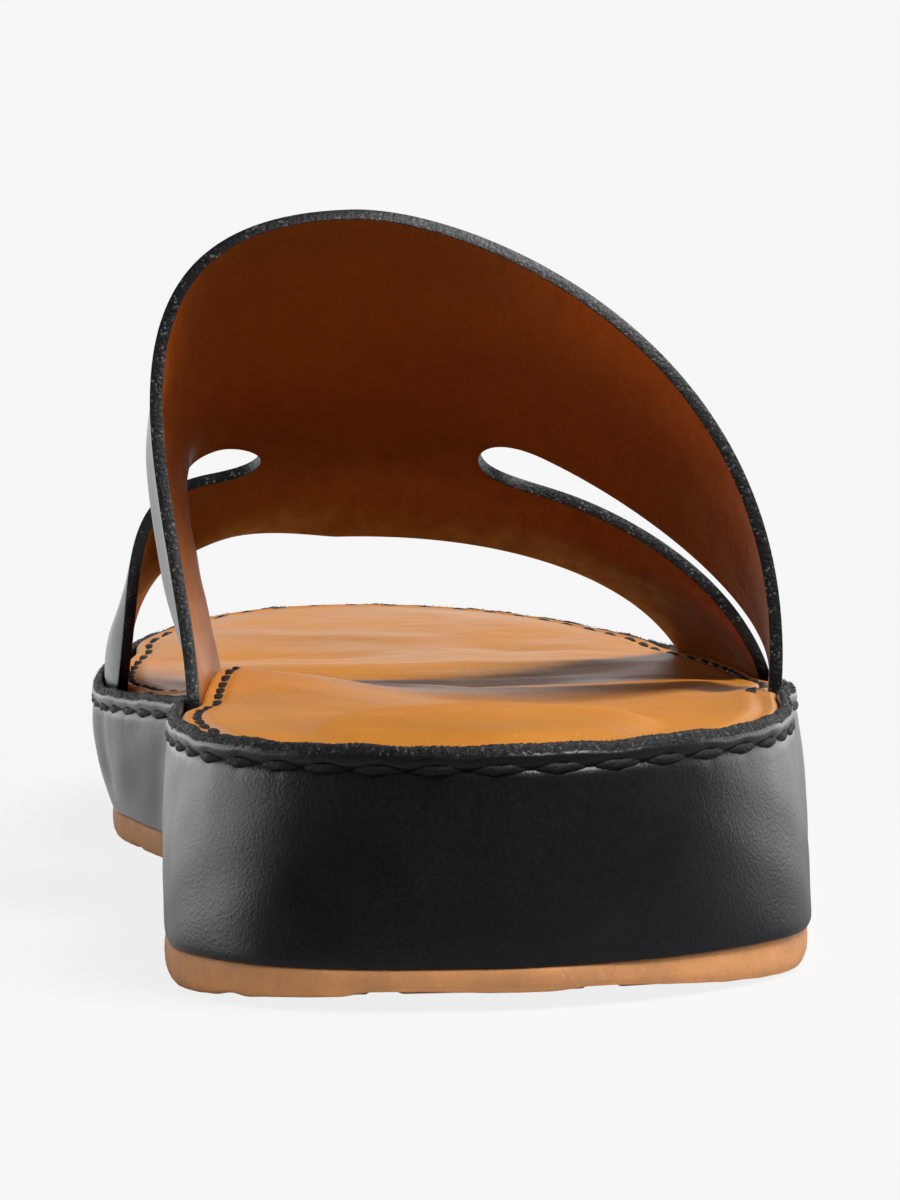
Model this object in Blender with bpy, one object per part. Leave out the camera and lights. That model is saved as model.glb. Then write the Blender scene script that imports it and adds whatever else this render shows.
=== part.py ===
"""Right-foot slide sandal: outsole, wrapped midsole, rim, footbed and a slotted instep upper.

Sizes are in millimetres and are turned into metres when a mesh is made. The heel's back is at
y = 0 while the pieces are shaped, the toe points along +Y, the inner side of the foot is -X and
the floor is z = 0. At the end the whole sandal is set on its origin, bottom centre.
"""
import math

import bmesh
import bpy
import numpy as np
from mathutils import Vector

MM = 0.001

# Driving dimensions
LENGTH = 284.0
OUTSOLE_THICKNESS = 3.8
RIM_HEIGHT = 3.4
RIM_WALL = 1.4
RIM_SOFT = 0.35
UPPER_WALL = 1.6
GAP = 0.3
STRAP_GAP = 0.5
TOE_SPRING = 5.6
SPRING_START = 0.74
ARCH_LIFT = 1.0
ARCH_START, ARCH_END = 0.34, 0.55
HEEL_ROLL = 0.8
HEEL_ROLL_END = 26.0
WALL_BELLY = 0.5
WALL_LEVELS = 6
TUCK_POWER = 1.5
ROUND_SHARE = 0.3
LOOP_POINTS = 128
FINE_POINTS = 720
TANGENT_STEP = 0.004
NORMAL_STEP = 0.01
SHARP_ANGLE = 35.0

# Plan of the sole at the rim: centre line, half width before the ends round off, and how far
# the wall's foot stands out (+) or tucks in (-) under the rim
PLAN_COLUMNS = ("share", "centre", "fullness", "tuck", "rim_top")
PLAN = (
    (0.00, 0.0, 59.0, 0.6, 28.3),
    (0.07, 0.0, 57.8, 0.6, 28.4),
    (0.12, 0.1, 52.8, 0.6, 28.6),
    (0.18, 0.3, 47.2, 0.7, 28.5),
    (0.25, 1.2, 42.8, 0.8, 27.9),
    (0.33, 2.9, 40.9, 1.0, 26.7),
    (0.40, 4.3, 39.6, 1.2, 25.2),
    (0.46, 5.9, 38.8, 1.2, 24.0),
    (0.53, 4.6, 41.4, 0.6, 22.8),
    (0.60, 1.8, 45.7, -0.9, 21.9),
    (0.66, -0.6, 49.6, -2.0, 21.5),
    (0.72, -2.4, 51.6, -2.4, 21.7),
    (0.77, -4.2, 52.4, -2.4, 22.1),
    (0.83, -6.3, 53.4, -2.2, 22.9),
    (0.89, -8.3, 55.0, -2.0, 24.0),
    (0.94, -9.9, 57.3, -1.8, 25.0),
    (1.00, -13.0, 62.0, -1.8, 26.3),
)

# Pads of the footbed: name, middle x and y, half width, half length and rise above the plain insole
PADS = (
    ("arch", -20.0, 102.0, 13.0, 34.0, 2.6),
    ("heel", 0.0, 46.0, 24.0, 26.0, 0.5),
    ("waist_hollow", 12.0, 98.0, 20.0, 27.0, -2.0),
    ("ball_hollow", 0.0, 172.0, 34.0, 30.0, -1.0),
    ("toe_roll", -8.0, 246.0, 34.0, 18.0, 0.9),
)
FOOTBED_LIP = 0.3
FOOTBED_LIP_AT_STRAPS = -1.4
FOOTBED_CROWN = 0.4
FOOTBED_EDGE_ROUND = 1.2
FOOTBED_ACROSS = 12
CROWN_REACH = 12.0
PAD_FADE = 9.0
NOTCH_MARGIN = 2.5
NOTCH_RAMP = 5.0

# Ribs of the upper from the front edge to the rear edge. Each is an arch over the foot: a crown
# point, and on either side a curve down to the rim with a crown handle and a wall handle
SLOT_PLACE = 0.45
RIB_COLUMNS = ("name", "place", "inner_y", "crown_y", "outer_y", "crown_x", "crown_z",
               "inner_crown", "inner_wall", "inner_lean",
               "outer_crown", "outer_wall", "outer_lean")
RIBS = (
    ("front_edge", 0.00, 235.0, 178.0, 216.0, -13.5, 42.2, 14.0, 23.0, -6.0, 24.0, 14.0, -10.0),
    ("front_strap", 0.22, 191.0, 164.0, 158.0, -8.0, 47.4, 27.0, 21.0, -5.5, 24.0, 10.0, -1.0),
    ("slot", SLOT_PLACE, 154.0, 149.5, 121.5, -4.0, 54.3, 48.0, 24.5, 1.0, 25.0, 6.0, 7.0),
    ("rear_edge", 1.00, 95.0, 111.5, 93.0, -12.0, 85.7, 32.0, 28.0, 5.0, 20.5, 33.0, 4.0),
)
# Slots of the inner (-1) and outer (+1) side: where each ends on its side of the arch, and how far
# it opens at that end, and to the front and rear at the rim
SLOTS = {
    -1: {"end": 0.17, "end_open": 0.065, "base_front": 0.165, "base_rear": 0.21},
    1: {"end": 0.12, "end_open": 0.085, "base_front": 0.150, "base_rear": 0.08},
}
SLOT_END_ROUND = 0.16
ARCH_STEPS = 24
BRIDGE_STEPS = 5
TURN_STEPS = 4
FRONT_STEPS = 8
REAR_STEPS = 6

# Tread: wavy grooves across the forefoot and along the heel
GROOVE_DEPTH = 1.3
GROOVE_WIDTH = 3.4
GROOVE_POINTS = 19
FORE_GROOVES = (0.545, 0.615, 0.685, 0.755, 0.825, 0.895)
FORE_GROOVE_REACH = 62.0
FORE_WAVE = 3.0
FORE_WAVELENGTH = 38.0
HEEL_GROOVES = (-29.0, -14.0, 9.5, 25.0)
HEEL_GROOVE_START, HEEL_GROOVE_END = -8.0, 84.0
HEEL_WAVE = 1.6
HEEL_WAVELENGTH = 46.0
SOLE_EDGE_ROUND = 0.9

# Colours, roughness
FINISHES = {
    "outsole": ((0.46, 0.21, 0.075), 0.6),
    "midsole": ((0.010, 0.010, 0.012), 0.45),
    "rim": ((0.012, 0.012, 0.014), 0.6),
    "footbed": ((0.56, 0.25, 0.065), 0.5),
    "upper": ((0.011, 0.011, 0.013), 0.4),
}


def smooth_through(xs, ys, x):
    """Monotone cubic curve through a table's points."""
    xs = np.asarray(xs, float)
    ys = np.asarray(ys, float)
    steps = np.diff(xs)
    slopes = np.diff(ys) / steps
    tangents = np.zeros(len(xs))
    tangents[0], tangents[-1] = slopes[0], slopes[-1]
    for k in range(1, len(xs) - 1):
        before, after = slopes[k - 1], slopes[k]
        if before * after > 0.0:
            weight_a = 2.0 * steps[k] + steps[k - 1]
            weight_b = steps[k] + 2.0 * steps[k - 1]
            tangents[k] = (weight_a + weight_b) / (weight_a / before + weight_b / after)
    x = np.clip(np.asarray(x, float), xs[0], xs[-1])
    k = np.clip(np.searchsorted(xs, x, side="right") - 1, 0, len(steps) - 1)
    t = (x - xs[k]) / steps[k]
    return ((1 + 2 * t) * (1 - t) ** 2 * ys[k] + t * (1 - t) ** 2 * steps[k] * tangents[k]
            + t * t * (3 - 2 * t) * ys[k + 1] + t * t * (t - 1) * steps[k] * tangents[k + 1])


def ease(low, high, x):
    """0 below low, 1 above high, smooth between."""
    t = np.clip((np.asarray(x, float) - low) / (high - low), 0.0, 1.0)
    return t * t * (3 - 2 * t)


def plan(column, share):
    """A column of the plan table at a share of the length."""
    k = PLAN_COLUMNS.index(column)
    return smooth_through([row[0] for row in PLAN], [row[k] for row in PLAN], share)


def rim_top(y):
    """Height of the rim's top edge along the sandal."""
    return plan("rim_top", np.asarray(y, float) / LENGTH)


def ground(y):
    """Underside of the sole: flat heel and ball, a low arch and the toe spring."""
    share = np.asarray(y, float) / LENGTH
    spring = TOE_SPRING * np.clip((share - SPRING_START) / (1 - SPRING_START), 0, None) ** 2
    middle = 0.5 * (ARCH_START + ARCH_END)
    arch = ARCH_LIFT * ease(ARCH_START, middle, share) * (1 - ease(middle, ARCH_END, share))
    return spring + arch


def tread_face(y):
    """Lowest face of the outsole: the underside, rolled up a little at the heel's back."""
    roll = np.clip(1 - np.asarray(y, float) / HEEL_ROLL_END, 0, 1)
    return ground(y) + HEEL_ROLL * roll ** 2


def outline(angle):
    """Point of the plan outline; the angle runs from the heel round the outer side to the toe."""
    share = (1 - np.cos(angle)) / 2
    x = plan("centre", share) + plan("fullness", share) * np.sin(angle)
    return np.stack([x, LENGTH * share], -1)


def loop(offset, points=LOOP_POINTS):
    """Closed outline moved outwards by an offset, which may change from point to point."""
    angle = 2 * math.pi * np.arange(points) / points
    tangent = outline(angle + TANGENT_STEP) - outline(angle - TANGENT_STEP)
    tangent /= np.linalg.norm(tangent, axis=1)[:, None]
    outward = np.stack([tangent[:, 1], -tangent[:, 0]], -1)
    return outline(angle) + outward * np.broadcast_to(offset, points)[:, None]


def edge_x(side, inset, y):
    """Where the inset outline crosses a given y on the inner (-1) or outer (+1) side."""
    fine = loop(-inset, FINE_POINTS)
    toe = FINE_POINTS // 2
    half = fine[:toe + 1] if side > 0 else fine[toe:][::-1]
    return np.interp(y, half[:, 1], half[:, 0])


def tuck(points=LOOP_POINTS):
    """How far the wall's foot stands out at each point of a loop."""
    angle = 2 * math.pi * np.arange(points) / points
    return plan("tuck", (1 - np.cos(angle)) / 2)


def lift(flat, height):
    """Gives a plan loop its heights."""
    return np.column_stack([flat, np.broadcast_to(height, len(flat))])


def finish(name):
    """The piece's own material."""
    colour, roughness = FINISHES[name]
    material = bpy.data.materials.new(name)
    material.use_nodes = True
    shader = material.node_tree.nodes["Principled BSDF"]
    shader.inputs["Base Color"].default_value = (*colour, 1.0)
    shader.inputs["Roughness"].default_value = roughness
    shader.inputs["Metallic"].default_value = 0.0
    return material


def make_object(name, bm):
    """A shaded object from a finished mesh, with the material of the piece that it is named after."""
    bmesh.ops.recalc_face_normals(bm, faces=bm.faces[:])
    mesh = bpy.data.meshes.new(name)
    bm.to_mesh(mesh)
    bm.free()
    mesh.shade_smooth()
    mesh.set_sharp_from_angle(angle=math.radians(SHARP_ANGLE))
    mesh.materials.append(finish(name))
    piece = bpy.data.objects.new(name, mesh)
    bpy.context.collection.objects.link(piece)
    return piece


def add_loop(bm, points):
    """Vertices of one loop, in metres."""
    return [bm.verts.new(point * MM) for point in points]


def bridge(bm, low, high):
    """Wall between two closed loops of equal length."""
    count = len(low)
    for k in range(count):
        n = (k + 1) % count
        bm.faces.new((low[k], low[n], high[n], high[k]))


def cap(bm, ring):
    """Closes a loop with strips from the outer side to the inner side."""
    count = len(ring)
    half = count // 2
    bm.faces.new((ring[0], ring[1], ring[count - 1]))
    for k in range(1, half - 1):
        bm.faces.new((ring[k], ring[k + 1], ring[count - k - 1], ring[count - k]))
    bm.faces.new((ring[half - 1], ring[half], ring[half + 1]))


def stack(name, loops):
    """Solid from loops stacked upwards and capped below and above."""
    bm = bmesh.new()
    rings = [add_loop(bm, points) for points in loops]
    for low, high in zip(rings, rings[1:]):
        bridge(bm, low, high)
    cap(bm, rings[0])
    cap(bm, rings[-1])
    return make_object(name, bm)


def wavy_groove(bm, path, floor_height):
    """One groove cutter: a strip of the groove's width along a path of plan points."""
    direction = np.gradient(path, axis=0)
    direction /= np.linalg.norm(direction, axis=1)[:, None]
    across = np.stack([-direction[:, 1], direction[:, 0]], -1) * GROOVE_WIDTH / 2
    rings = []
    for point, sideways, height in zip(path, across, floor_height):
        corners = ((point - sideways, -GROOVE_WIDTH), (point + sideways, -GROOVE_WIDTH),
                   (point + sideways, height), (point - sideways, height))
        rings.append([bm.verts.new((*(flat * MM), z * MM)) for flat, z in corners])
    for low, high in zip(rings, rings[1:]):
        bridge(bm, low, high)
    bm.faces.new(rings[0])
    bm.faces.new(rings[-1])


def make_tread_cutter():
    """All grooves of the tread in one cutter."""
    bm = bmesh.new()
    run = np.linspace(-FORE_GROOVE_REACH, FORE_GROOVE_REACH, GROOVE_POINTS)
    for share in FORE_GROOVES:
        wave = FORE_WAVE * np.sin(2 * math.pi * run / FORE_WAVELENGTH)
        path = np.stack([run, LENGTH * share + wave], -1)
        wavy_groove(bm, path, tread_face(path[:, 1]) + GROOVE_DEPTH)
    run = np.linspace(HEEL_GROOVE_START, HEEL_GROOVE_END, GROOVE_POINTS)
    for x in HEEL_GROOVES:
        wave = HEEL_WAVE * np.sin(2 * math.pi * run / HEEL_WAVELENGTH)
        path = np.stack([x + wave, run], -1)
        wavy_groove(bm, path, tread_face(path[:, 1]) + GROOVE_DEPTH)
    cutter = make_object("outsole", bm)
    cutter.name = "tread_cutter"
    cutter.hide_render = True
    cutter.display_type = "WIRE"
    return cutter


def make_outsole():
    """Gum-rubber sole with a rounded lower edge and wavy lugs."""
    foot = tuck()
    low = loop(foot - SOLE_EDGE_ROUND)
    mid = loop(foot - ROUND_SHARE * SOLE_EDGE_ROUND)
    high = loop(foot)
    sole = stack("outsole", (
        lift(low, tread_face(low[:, 1])),
        lift(mid, tread_face(mid[:, 1]) + ROUND_SHARE * SOLE_EDGE_ROUND),
        lift(high, tread_face(high[:, 1]) + SOLE_EDGE_ROUND),
        lift(high, ground(high[:, 1]) + OUTSOLE_THICKNESS),
    ))
    cut = sole.modifiers.new("tread", "BOOLEAN")
    cut.operation = "DIFFERENCE"
    cut.solver = "EXACT"
    cut.object = make_tread_cutter()
    return sole


def make_midsole():
    """Wrapped platform, from the outsole up to the rim."""
    loops = []
    for level in np.linspace(0.0, 1.0, WALL_LEVELS):
        flat = loop(tuck() * (1 - level) ** TUCK_POWER + WALL_BELLY * 4 * level * (1 - level))
        bottom = ground(flat[:, 1]) + OUTSOLE_THICKNESS + GAP
        top = rim_top(flat[:, 1]) - RIM_HEIGHT - GAP
        loops.append(lift(flat, bottom + (top - bottom) * level))
    return stack("midsole", loops)


def make_rim():
    """Black lip that stands round the footbed, a ring with a softened top."""
    section = ((0.0, -RIM_HEIGHT), (0.0, -RIM_SOFT), (-RIM_SOFT, 0.0), (RIM_SOFT - RIM_WALL, 0.0),
               (-RIM_WALL, -RIM_SOFT), (-RIM_WALL, -RIM_HEIGHT))
    bm = bmesh.new()
    rings = []
    for offset, drop in section:
        flat = loop(offset)
        rings.append(add_loop(bm, lift(flat, rim_top(flat[:, 1]) + drop)))
    for low, high in zip(rings, rings[1:] + rings[:1]):
        bridge(bm, low, high)
    return make_object("rim", bm)


def strap_feet(side):
    """Stretches of the rim, as pairs of y, that a side's strap feet take up."""
    column = "inner_y" if side < 0 else "outer_y"
    front = rib_value(column, np.array([0.0, SLOT_PLACE - SLOTS[side]["base_front"]]))
    rear = rib_value(column, np.array([SLOT_PLACE + SLOTS[side]["base_rear"], 1.0]))
    return ((front[1], front[0]), (rear[1], rear[0]))


def strap_share():
    """For each point of a loop, 1 where a strap foot stands and 0 where the rim is free."""
    flat = loop(-RIM_WALL)
    angle = 2 * math.pi * np.arange(LOOP_POINTS) / LOOP_POINTS
    taken = np.zeros(LOOP_POINTS)
    for side in (-1, 1):
        on_side = np.sin(angle) * side > 0
        for low, high in strap_feet(side):
            y = flat[:, 1]
            before = ease(low - NOTCH_MARGIN - NOTCH_RAMP, low - NOTCH_MARGIN, y)
            after = ease(high + NOTCH_MARGIN, high + NOTCH_MARGIN + NOTCH_RAMP, y)
            taken = np.maximum(taken, np.where(on_side, before * (1 - after), 0.0))
    return taken


def footbed_top(x, y, from_edge, lip):
    """Height of the footbed: its lip, the insole's own crown and the pads, which fade at the edge."""
    crown = FOOTBED_LIP + FOOTBED_CROWN
    height = rim_top(y) + lip + (crown - lip) * ease(0.0, CROWN_REACH, from_edge)
    for _, px, py, half_width, half_length, rise in PADS:
        reach = ((x - px) / half_width) ** 2 + ((y - py) / half_length) ** 2
        height = height + rise * np.exp(-reach) * ease(0.0, PAD_FADE, from_edge)
    return height


def make_footbed():
    """Padded insole: side wall, rounded edge and a top that carries the pads."""
    taken = strap_share()
    inset = RIM_WALL + GAP + taken * (UPPER_WALL + STRAP_GAP)
    lip = FOOTBED_LIP + taken * (FOOTBED_LIP_AT_STRAPS - FOOTBED_LIP)
    edge = loop(-inset)
    shoulder = loop(-inset - ROUND_SHARE * FOOTBED_EDGE_ROUND)
    top_edge = loop(-inset - FOOTBED_EDGE_ROUND)
    bm = bmesh.new()
    rings = [
        add_loop(bm, lift(edge, rim_top(edge[:, 1]) - RIM_HEIGHT)),
        add_loop(bm, lift(edge, rim_top(edge[:, 1]) + lip - FOOTBED_EDGE_ROUND)),
        add_loop(bm, lift(shoulder, rim_top(shoulder[:, 1]) + lip - ROUND_SHARE * FOOTBED_EDGE_ROUND)),
        add_loop(bm, lift(top_edge, rim_top(top_edge[:, 1]) + lip)),
    ]
    cap(bm, rings[0])
    for low, high in zip(rings, rings[1:]):
        bridge(bm, low, high)
    half = LOOP_POINTS // 2
    rows = [[rings[-1][0]]]
    for k in range(1, half):
        outer, inner = top_edge[k], top_edge[LOOP_POINTS - k]
        row = [rings[-1][k]]
        for step in range(1, FOOTBED_ACROSS):
            flat = outer + (inner - outer) * step / FOOTBED_ACROSS
            from_edge = np.linalg.norm(flat - top_edge, axis=1)
            nearest = from_edge.argmin()
            height = footbed_top(flat[0], flat[1], from_edge[nearest], lip[nearest])
            row.append(bm.verts.new((flat[0] * MM, flat[1] * MM, height * MM)))
        row.append(rings[-1][LOOP_POINTS - k])
        rows.append(row)
    rows.append([rings[-1][half]])
    for near, far in zip(rows, rows[1:]):
        for step in range(FOOTBED_ACROSS):
            a, b = near[min(step, len(near) - 1)], near[min(step + 1, len(near) - 1)]
            c, d = far[min(step + 1, len(far) - 1)], far[min(step, len(far) - 1)]
            corners = [a] + [v for v in (b, c, d) if v is not a]
            bm.faces.new(list(dict.fromkeys(corners)))
    return make_object("footbed", bm)


def rib_value(column, place):
    """A column of the rib table between the front edge (0) and the rear edge (1)."""
    k = RIB_COLUMNS.index(column)
    return smooth_through([row[1] for row in RIBS], [row[k] for row in RIBS], place)


def upper_point(side, down, place):
    """Inner face of the upper: down runs from the crown (0) to the rim (1) on one side."""
    name = "inner" if side < 0 else "outer"
    crown_x, crown_y, crown_z = (rib_value(c, place) for c in ("crown_x", "crown_y", "crown_z"))
    base_y = rib_value(name + "_y", place)
    base_x = edge_x(side, RIM_WALL + GAP + UPPER_WALL, base_y)
    base_z = rim_top(base_y)
    handles = (
        (crown_x, crown_z),
        (crown_x + side * rib_value(name + "_crown", place), crown_z),
        (base_x + side * rib_value(name + "_lean", place), base_z + rib_value(name + "_wall", place)),
        (base_x, base_z),
    )
    weights = ((1 - down) ** 3, 3 * down * (1 - down) ** 2, 3 * down * down * (1 - down), down ** 3)
    x = sum(w * h[0] for w, h in zip(weights, handles))
    z = sum(w * h[1] for w, h in zip(weights, handles))
    return np.array([x, crown_y + (base_y - crown_y) * down * down, z])


def upper_normal(side, down, place):
    """Outward direction of the upper's face."""
    lower, higher = min(down + NORMAL_STEP, 1.0), max(down - NORMAL_STEP, 0.0)
    ahead, behind = max(place - NORMAL_STEP, 0.0), min(place + NORMAL_STEP, 1.0)
    along_arch = upper_point(side, lower, place) - upper_point(side, higher, place)
    along_foot = upper_point(side, down, ahead) - upper_point(side, down, behind)
    normal = np.cross(along_arch, along_foot) * side
    return normal / np.linalg.norm(normal)


def slot_edges(side, down):
    """Places of a slot's front and rear edges, equal where the leather is whole."""
    slot = SLOTS[side]
    if down <= slot["end"]:
        return SLOT_PLACE, SLOT_PLACE
    run = (down - slot["end"]) / (1 - slot["end"])
    turn = min(run / SLOT_END_ROUND, 1.0)
    rounding = math.sqrt(1 - (1 - turn) ** 2)
    front = slot["end_open"] + (slot["base_front"] - slot["end_open"]) * run
    rear = slot["end_open"] + (slot["base_rear"] - slot["end_open"]) * run
    return SLOT_PLACE - front * rounding, SLOT_PLACE + rear * rounding


def arch_steps(side):
    """Steps down one side of the arch, closer together round the slot's end."""
    end = SLOTS[side]["end"]
    whole = list(np.linspace(0.0, end, BRIDGE_STEPS + 1)[1:])
    angles = np.linspace(0, math.pi / 2, TURN_STEPS + 1)[1:]
    turn = [end + (1 - end) * SLOT_END_ROUND * (1 - math.cos(angle)) for angle in angles]
    rest = list(np.linspace(turn[-1], 1.0, ARCH_STEPS - len(whole) - len(turn))[1:])
    return whole + turn + rest


def make_upper():
    """Instep band: one leather wall, open at the slots, with feet that go down behind the rim."""
    bm = bmesh.new()
    stations = [(-1, down) for down in reversed(arch_steps(-1))] + [(1, 0.0)]
    stations += [(1, down) for down in arch_steps(1)]
    front_rows, rear_rows, normals = [], [], {}

    def vertex(point, normal):
        vert = bm.verts.new(point * MM)
        normals[vert] = normal
        return vert

    def column(side, down, foot):
        front_edge, rear_edge = slot_edges(side, down)
        places = list(np.linspace(0.0, front_edge, FRONT_STEPS + 1))
        places += list(np.linspace(rear_edge, 1.0, REAR_STEPS + 1))
        verts = []
        for place in places:
            point, normal = upper_point(side, down, place), upper_normal(side, down, place)
            if down == 1.0:
                normal = normal * (1, 1, 0)
                normal /= np.linalg.norm(normal)
            if foot:
                point = point - np.array([0, 0, RIM_HEIGHT - GAP])
            verts.append((point, normal))
        whole = front_edge == rear_edge
        front = [vertex(*v) for v in verts[:FRONT_STEPS + 1]]
        rear = [front[-1] if whole else vertex(*verts[FRONT_STEPS + 1])]
        rear += [vertex(*v) for v in verts[FRONT_STEPS + 2:]]
        front_rows.append(front)
        rear_rows.append(rear)

    column(-1, 1.0, True)
    for side, down in stations:
        column(side, down, False)
    column(1, 1.0, True)
    for rows in (front_rows, rear_rows):
        for row, following in zip(rows, rows[1:]):
            for k in range(len(row) - 1):
                bm.faces.new((row[k], row[k + 1], following[k + 1], following[k]))
    inner_verts = bm.verts[:]
    inner_faces = bm.faces[:]
    edges = [edge for edge in bm.edges if len(edge.link_faces) == 1]
    outer = {vert: bm.verts.new(vert.co + Vector(normals[vert] * UPPER_WALL * MM)) for vert in inner_verts}
    for face in inner_faces:
        bm.faces.new([outer[vert] for vert in reversed(face.verts)])
    for edge in edges:
        a, b = edge.verts
        bm.faces.new((a, b, outer[b], outer[a]))
    return make_object("upper", bm)


def set_on_origin(pieces):
    """Moves every mesh so that the origin is at the bottom centre of the whole sandal."""
    points = np.array([vert.co for piece in pieces for vert in piece.data.vertices])
    low, high = points.min(axis=0), points.max(axis=0)
    shift = np.array([(low[0] + high[0]) / 2, (low[1] + high[1]) / 2, 0.0])
    for piece in bpy.data.objects:
        for vert in piece.data.vertices:
            vert.co = [value - move for value, move in zip(vert.co, shift)]


def main():
    for old in list(bpy.data.objects):
        bpy.data.objects.remove(old)
    set_on_origin([make_outsole(), make_midsole(), make_rim(), make_footbed(), make_upper()])


main()
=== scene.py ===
"""Looks of a right-foot slide sandal, laid out as a Blender add-on and run as a script.

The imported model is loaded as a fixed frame. Each operator then dresses one of its pieces: leather
wrap, rim with its raw edge, padded footbed, slotted instep band, gum-rubber outsole and the seams.
Shapes are worked out in millimetres with the heel's back at y = 0, and are laid in the frame in metres.
"""
import math

import bpy
import numpy as np
from bpy.props import FloatProperty, FloatVectorProperty, IntProperty, PointerProperty
from bpy.types import Operator, Panel, PropertyGroup
from mathutils import Matrix, Vector


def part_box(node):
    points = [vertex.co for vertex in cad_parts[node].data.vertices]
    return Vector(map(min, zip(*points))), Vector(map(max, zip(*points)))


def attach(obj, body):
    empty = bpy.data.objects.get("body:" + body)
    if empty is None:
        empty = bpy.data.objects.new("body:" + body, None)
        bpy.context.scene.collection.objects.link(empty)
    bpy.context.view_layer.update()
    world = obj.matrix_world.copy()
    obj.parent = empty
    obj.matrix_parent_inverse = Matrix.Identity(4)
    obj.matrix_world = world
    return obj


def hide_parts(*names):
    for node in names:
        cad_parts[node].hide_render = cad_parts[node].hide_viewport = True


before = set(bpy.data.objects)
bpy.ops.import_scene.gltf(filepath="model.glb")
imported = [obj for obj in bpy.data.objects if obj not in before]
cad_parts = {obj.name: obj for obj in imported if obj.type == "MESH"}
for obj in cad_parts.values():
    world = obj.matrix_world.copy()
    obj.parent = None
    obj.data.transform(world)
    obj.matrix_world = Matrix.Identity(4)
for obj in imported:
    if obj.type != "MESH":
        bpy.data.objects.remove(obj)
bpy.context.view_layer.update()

bl_info = {
    "name": "Slide Sandal Looks",
    "version": (1, 0, 0),
    "blender": (4, 5, 0),
    "location": "View3D > Sidebar > Sandal",
    "description": "Dresses a right-foot leather slide sandal",
    "category": "Object",
}

MM = 0.001

# Shape of the sole, in millimetres
LENGTH = 284.0
OUTSOLE_THICKNESS = 3.8
RIM_HEIGHT = 3.4
RIM_WALL = 1.4
GAP = 0.3
TOE_SPRING = 5.6
SPRING_START = 0.74
ARCH_LIFT = 1.0
ARCH_START, ARCH_END = 0.34, 0.55
HEEL_ROLL = 1.7
HEEL_ROLL_END = 30.0
HEEL_JOINT_RISE = 0.6
HEEL_JOINT_FADE = (20.0, 60.0)
# Heel corners, squarer at the foot of the wall: side, angles from the heel's back where each starts,
# is full and ends, and its reach
CORNERS = ((-1, 0.04, 0.42, 0.95, 4.0), (1, 0.10, 0.55, 1.00, 2.2))
FLARE_BEND = 1.5
# Step of the outsole back from the wrap at the heel's outer corner, and the angles of its start and end
OUTER_STEP = 0.7
OUTER_STEP_START, OUTER_STEP_END = (0.0, 0.5), (1.2, 0.6)
WALL_BELLY = 0.6
PLAN_COLUMNS = ("share", "centre", "fullness", "tuck", "rim_top")
PLAN = (
    (0.00, 0.0, 59.0, 0.6, 28.3),
    (0.07, 0.0, 57.8, 0.6, 28.4),
    (0.12, 0.1, 52.8, 0.6, 28.6),
    (0.18, 0.3, 47.2, 0.7, 28.5),
    (0.25, 1.2, 42.8, 0.8, 27.9),
    (0.33, 2.9, 40.9, 1.0, 26.7),
    (0.40, 4.3, 39.6, 1.2, 25.2),
    (0.46, 5.9, 38.8, 1.2, 24.0),
    (0.53, 4.6, 41.4, 0.6, 22.8),
    (0.60, 1.8, 45.7, -0.9, 21.9),
    (0.66, -0.6, 49.6, -2.0, 21.5),
    (0.72, -2.4, 51.6, -2.4, 21.7),
    (0.77, -4.2, 52.4, -2.4, 22.1),
    (0.83, -6.3, 53.4, -2.2, 22.9),
    (0.89, -8.3, 55.0, -2.0, 24.0),
    (0.94, -9.9, 57.3, -1.8, 25.0),
    (1.00, -13.0, 62.0, -1.8, 26.3),
)

# Pads of the footbed: name, middle x and y, half width, half length, rise and steepness of its sides
PADS = (
    ("arch", -25.0, 120.0, 15.0, 25.0, 2.9, 1.0),
    ("arch_lip", -32.0, 124.0, 7.0, 17.0, 1.2, 1.0),
    ("heel", -1.0, 27.0, 19.0, 24.0, 1.5, 7.0),
    ("waist_hollow", 9.0, 97.0, 22.0, 28.0, -2.9, 1.0),
    ("ball_hollow", 0.0, 172.0, 34.0, 30.0, -1.0, 1.0),
    ("toe_roll", -8.0, 246.0, 34.0, 18.0, 0.9, 1.0),
)
FOOTBED_LIP = 0.3
HEEL_LIP = -0.55
# The lip lies deepest at the heel's back, and comes level along the inner and the outer side
HEEL_BACK_LIP = -0.35
HEEL_BACK = (32.0, 18.0)
INNER_LEVEL, OUTER_LEVEL = (72.0, 92.0), (120.0, 165.0)
LIP_REACH = (10.0, 2.0)
HEEL_SINK = -1.4
SINK_FADE = (58.0, 96.0)
FOOTBED_CROWN = 0.4
CROWN_REACH = 12.0
PAD_FADE = 7.0
# Groove under the footbed's seam and the ridge beside it: rise, distance from the edge and half width
SEAM_GROOVE = (-0.45, 1.1, 0.7)
SEAM_RIDGE = (0.12, 2.6, 0.9)
CREASE_REACH = (2.0, 9.0)
FOOTBED_RIPPLE, FOOTBED_RIPPLE_SIZE = 0.10, 23.0
FOOTBED_PLAY = 0.1
FOOTBED_ROUND = 0.9
NOTCH_MARGIN = 2.5
NOTCH_RAMP = 15.0

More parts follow.
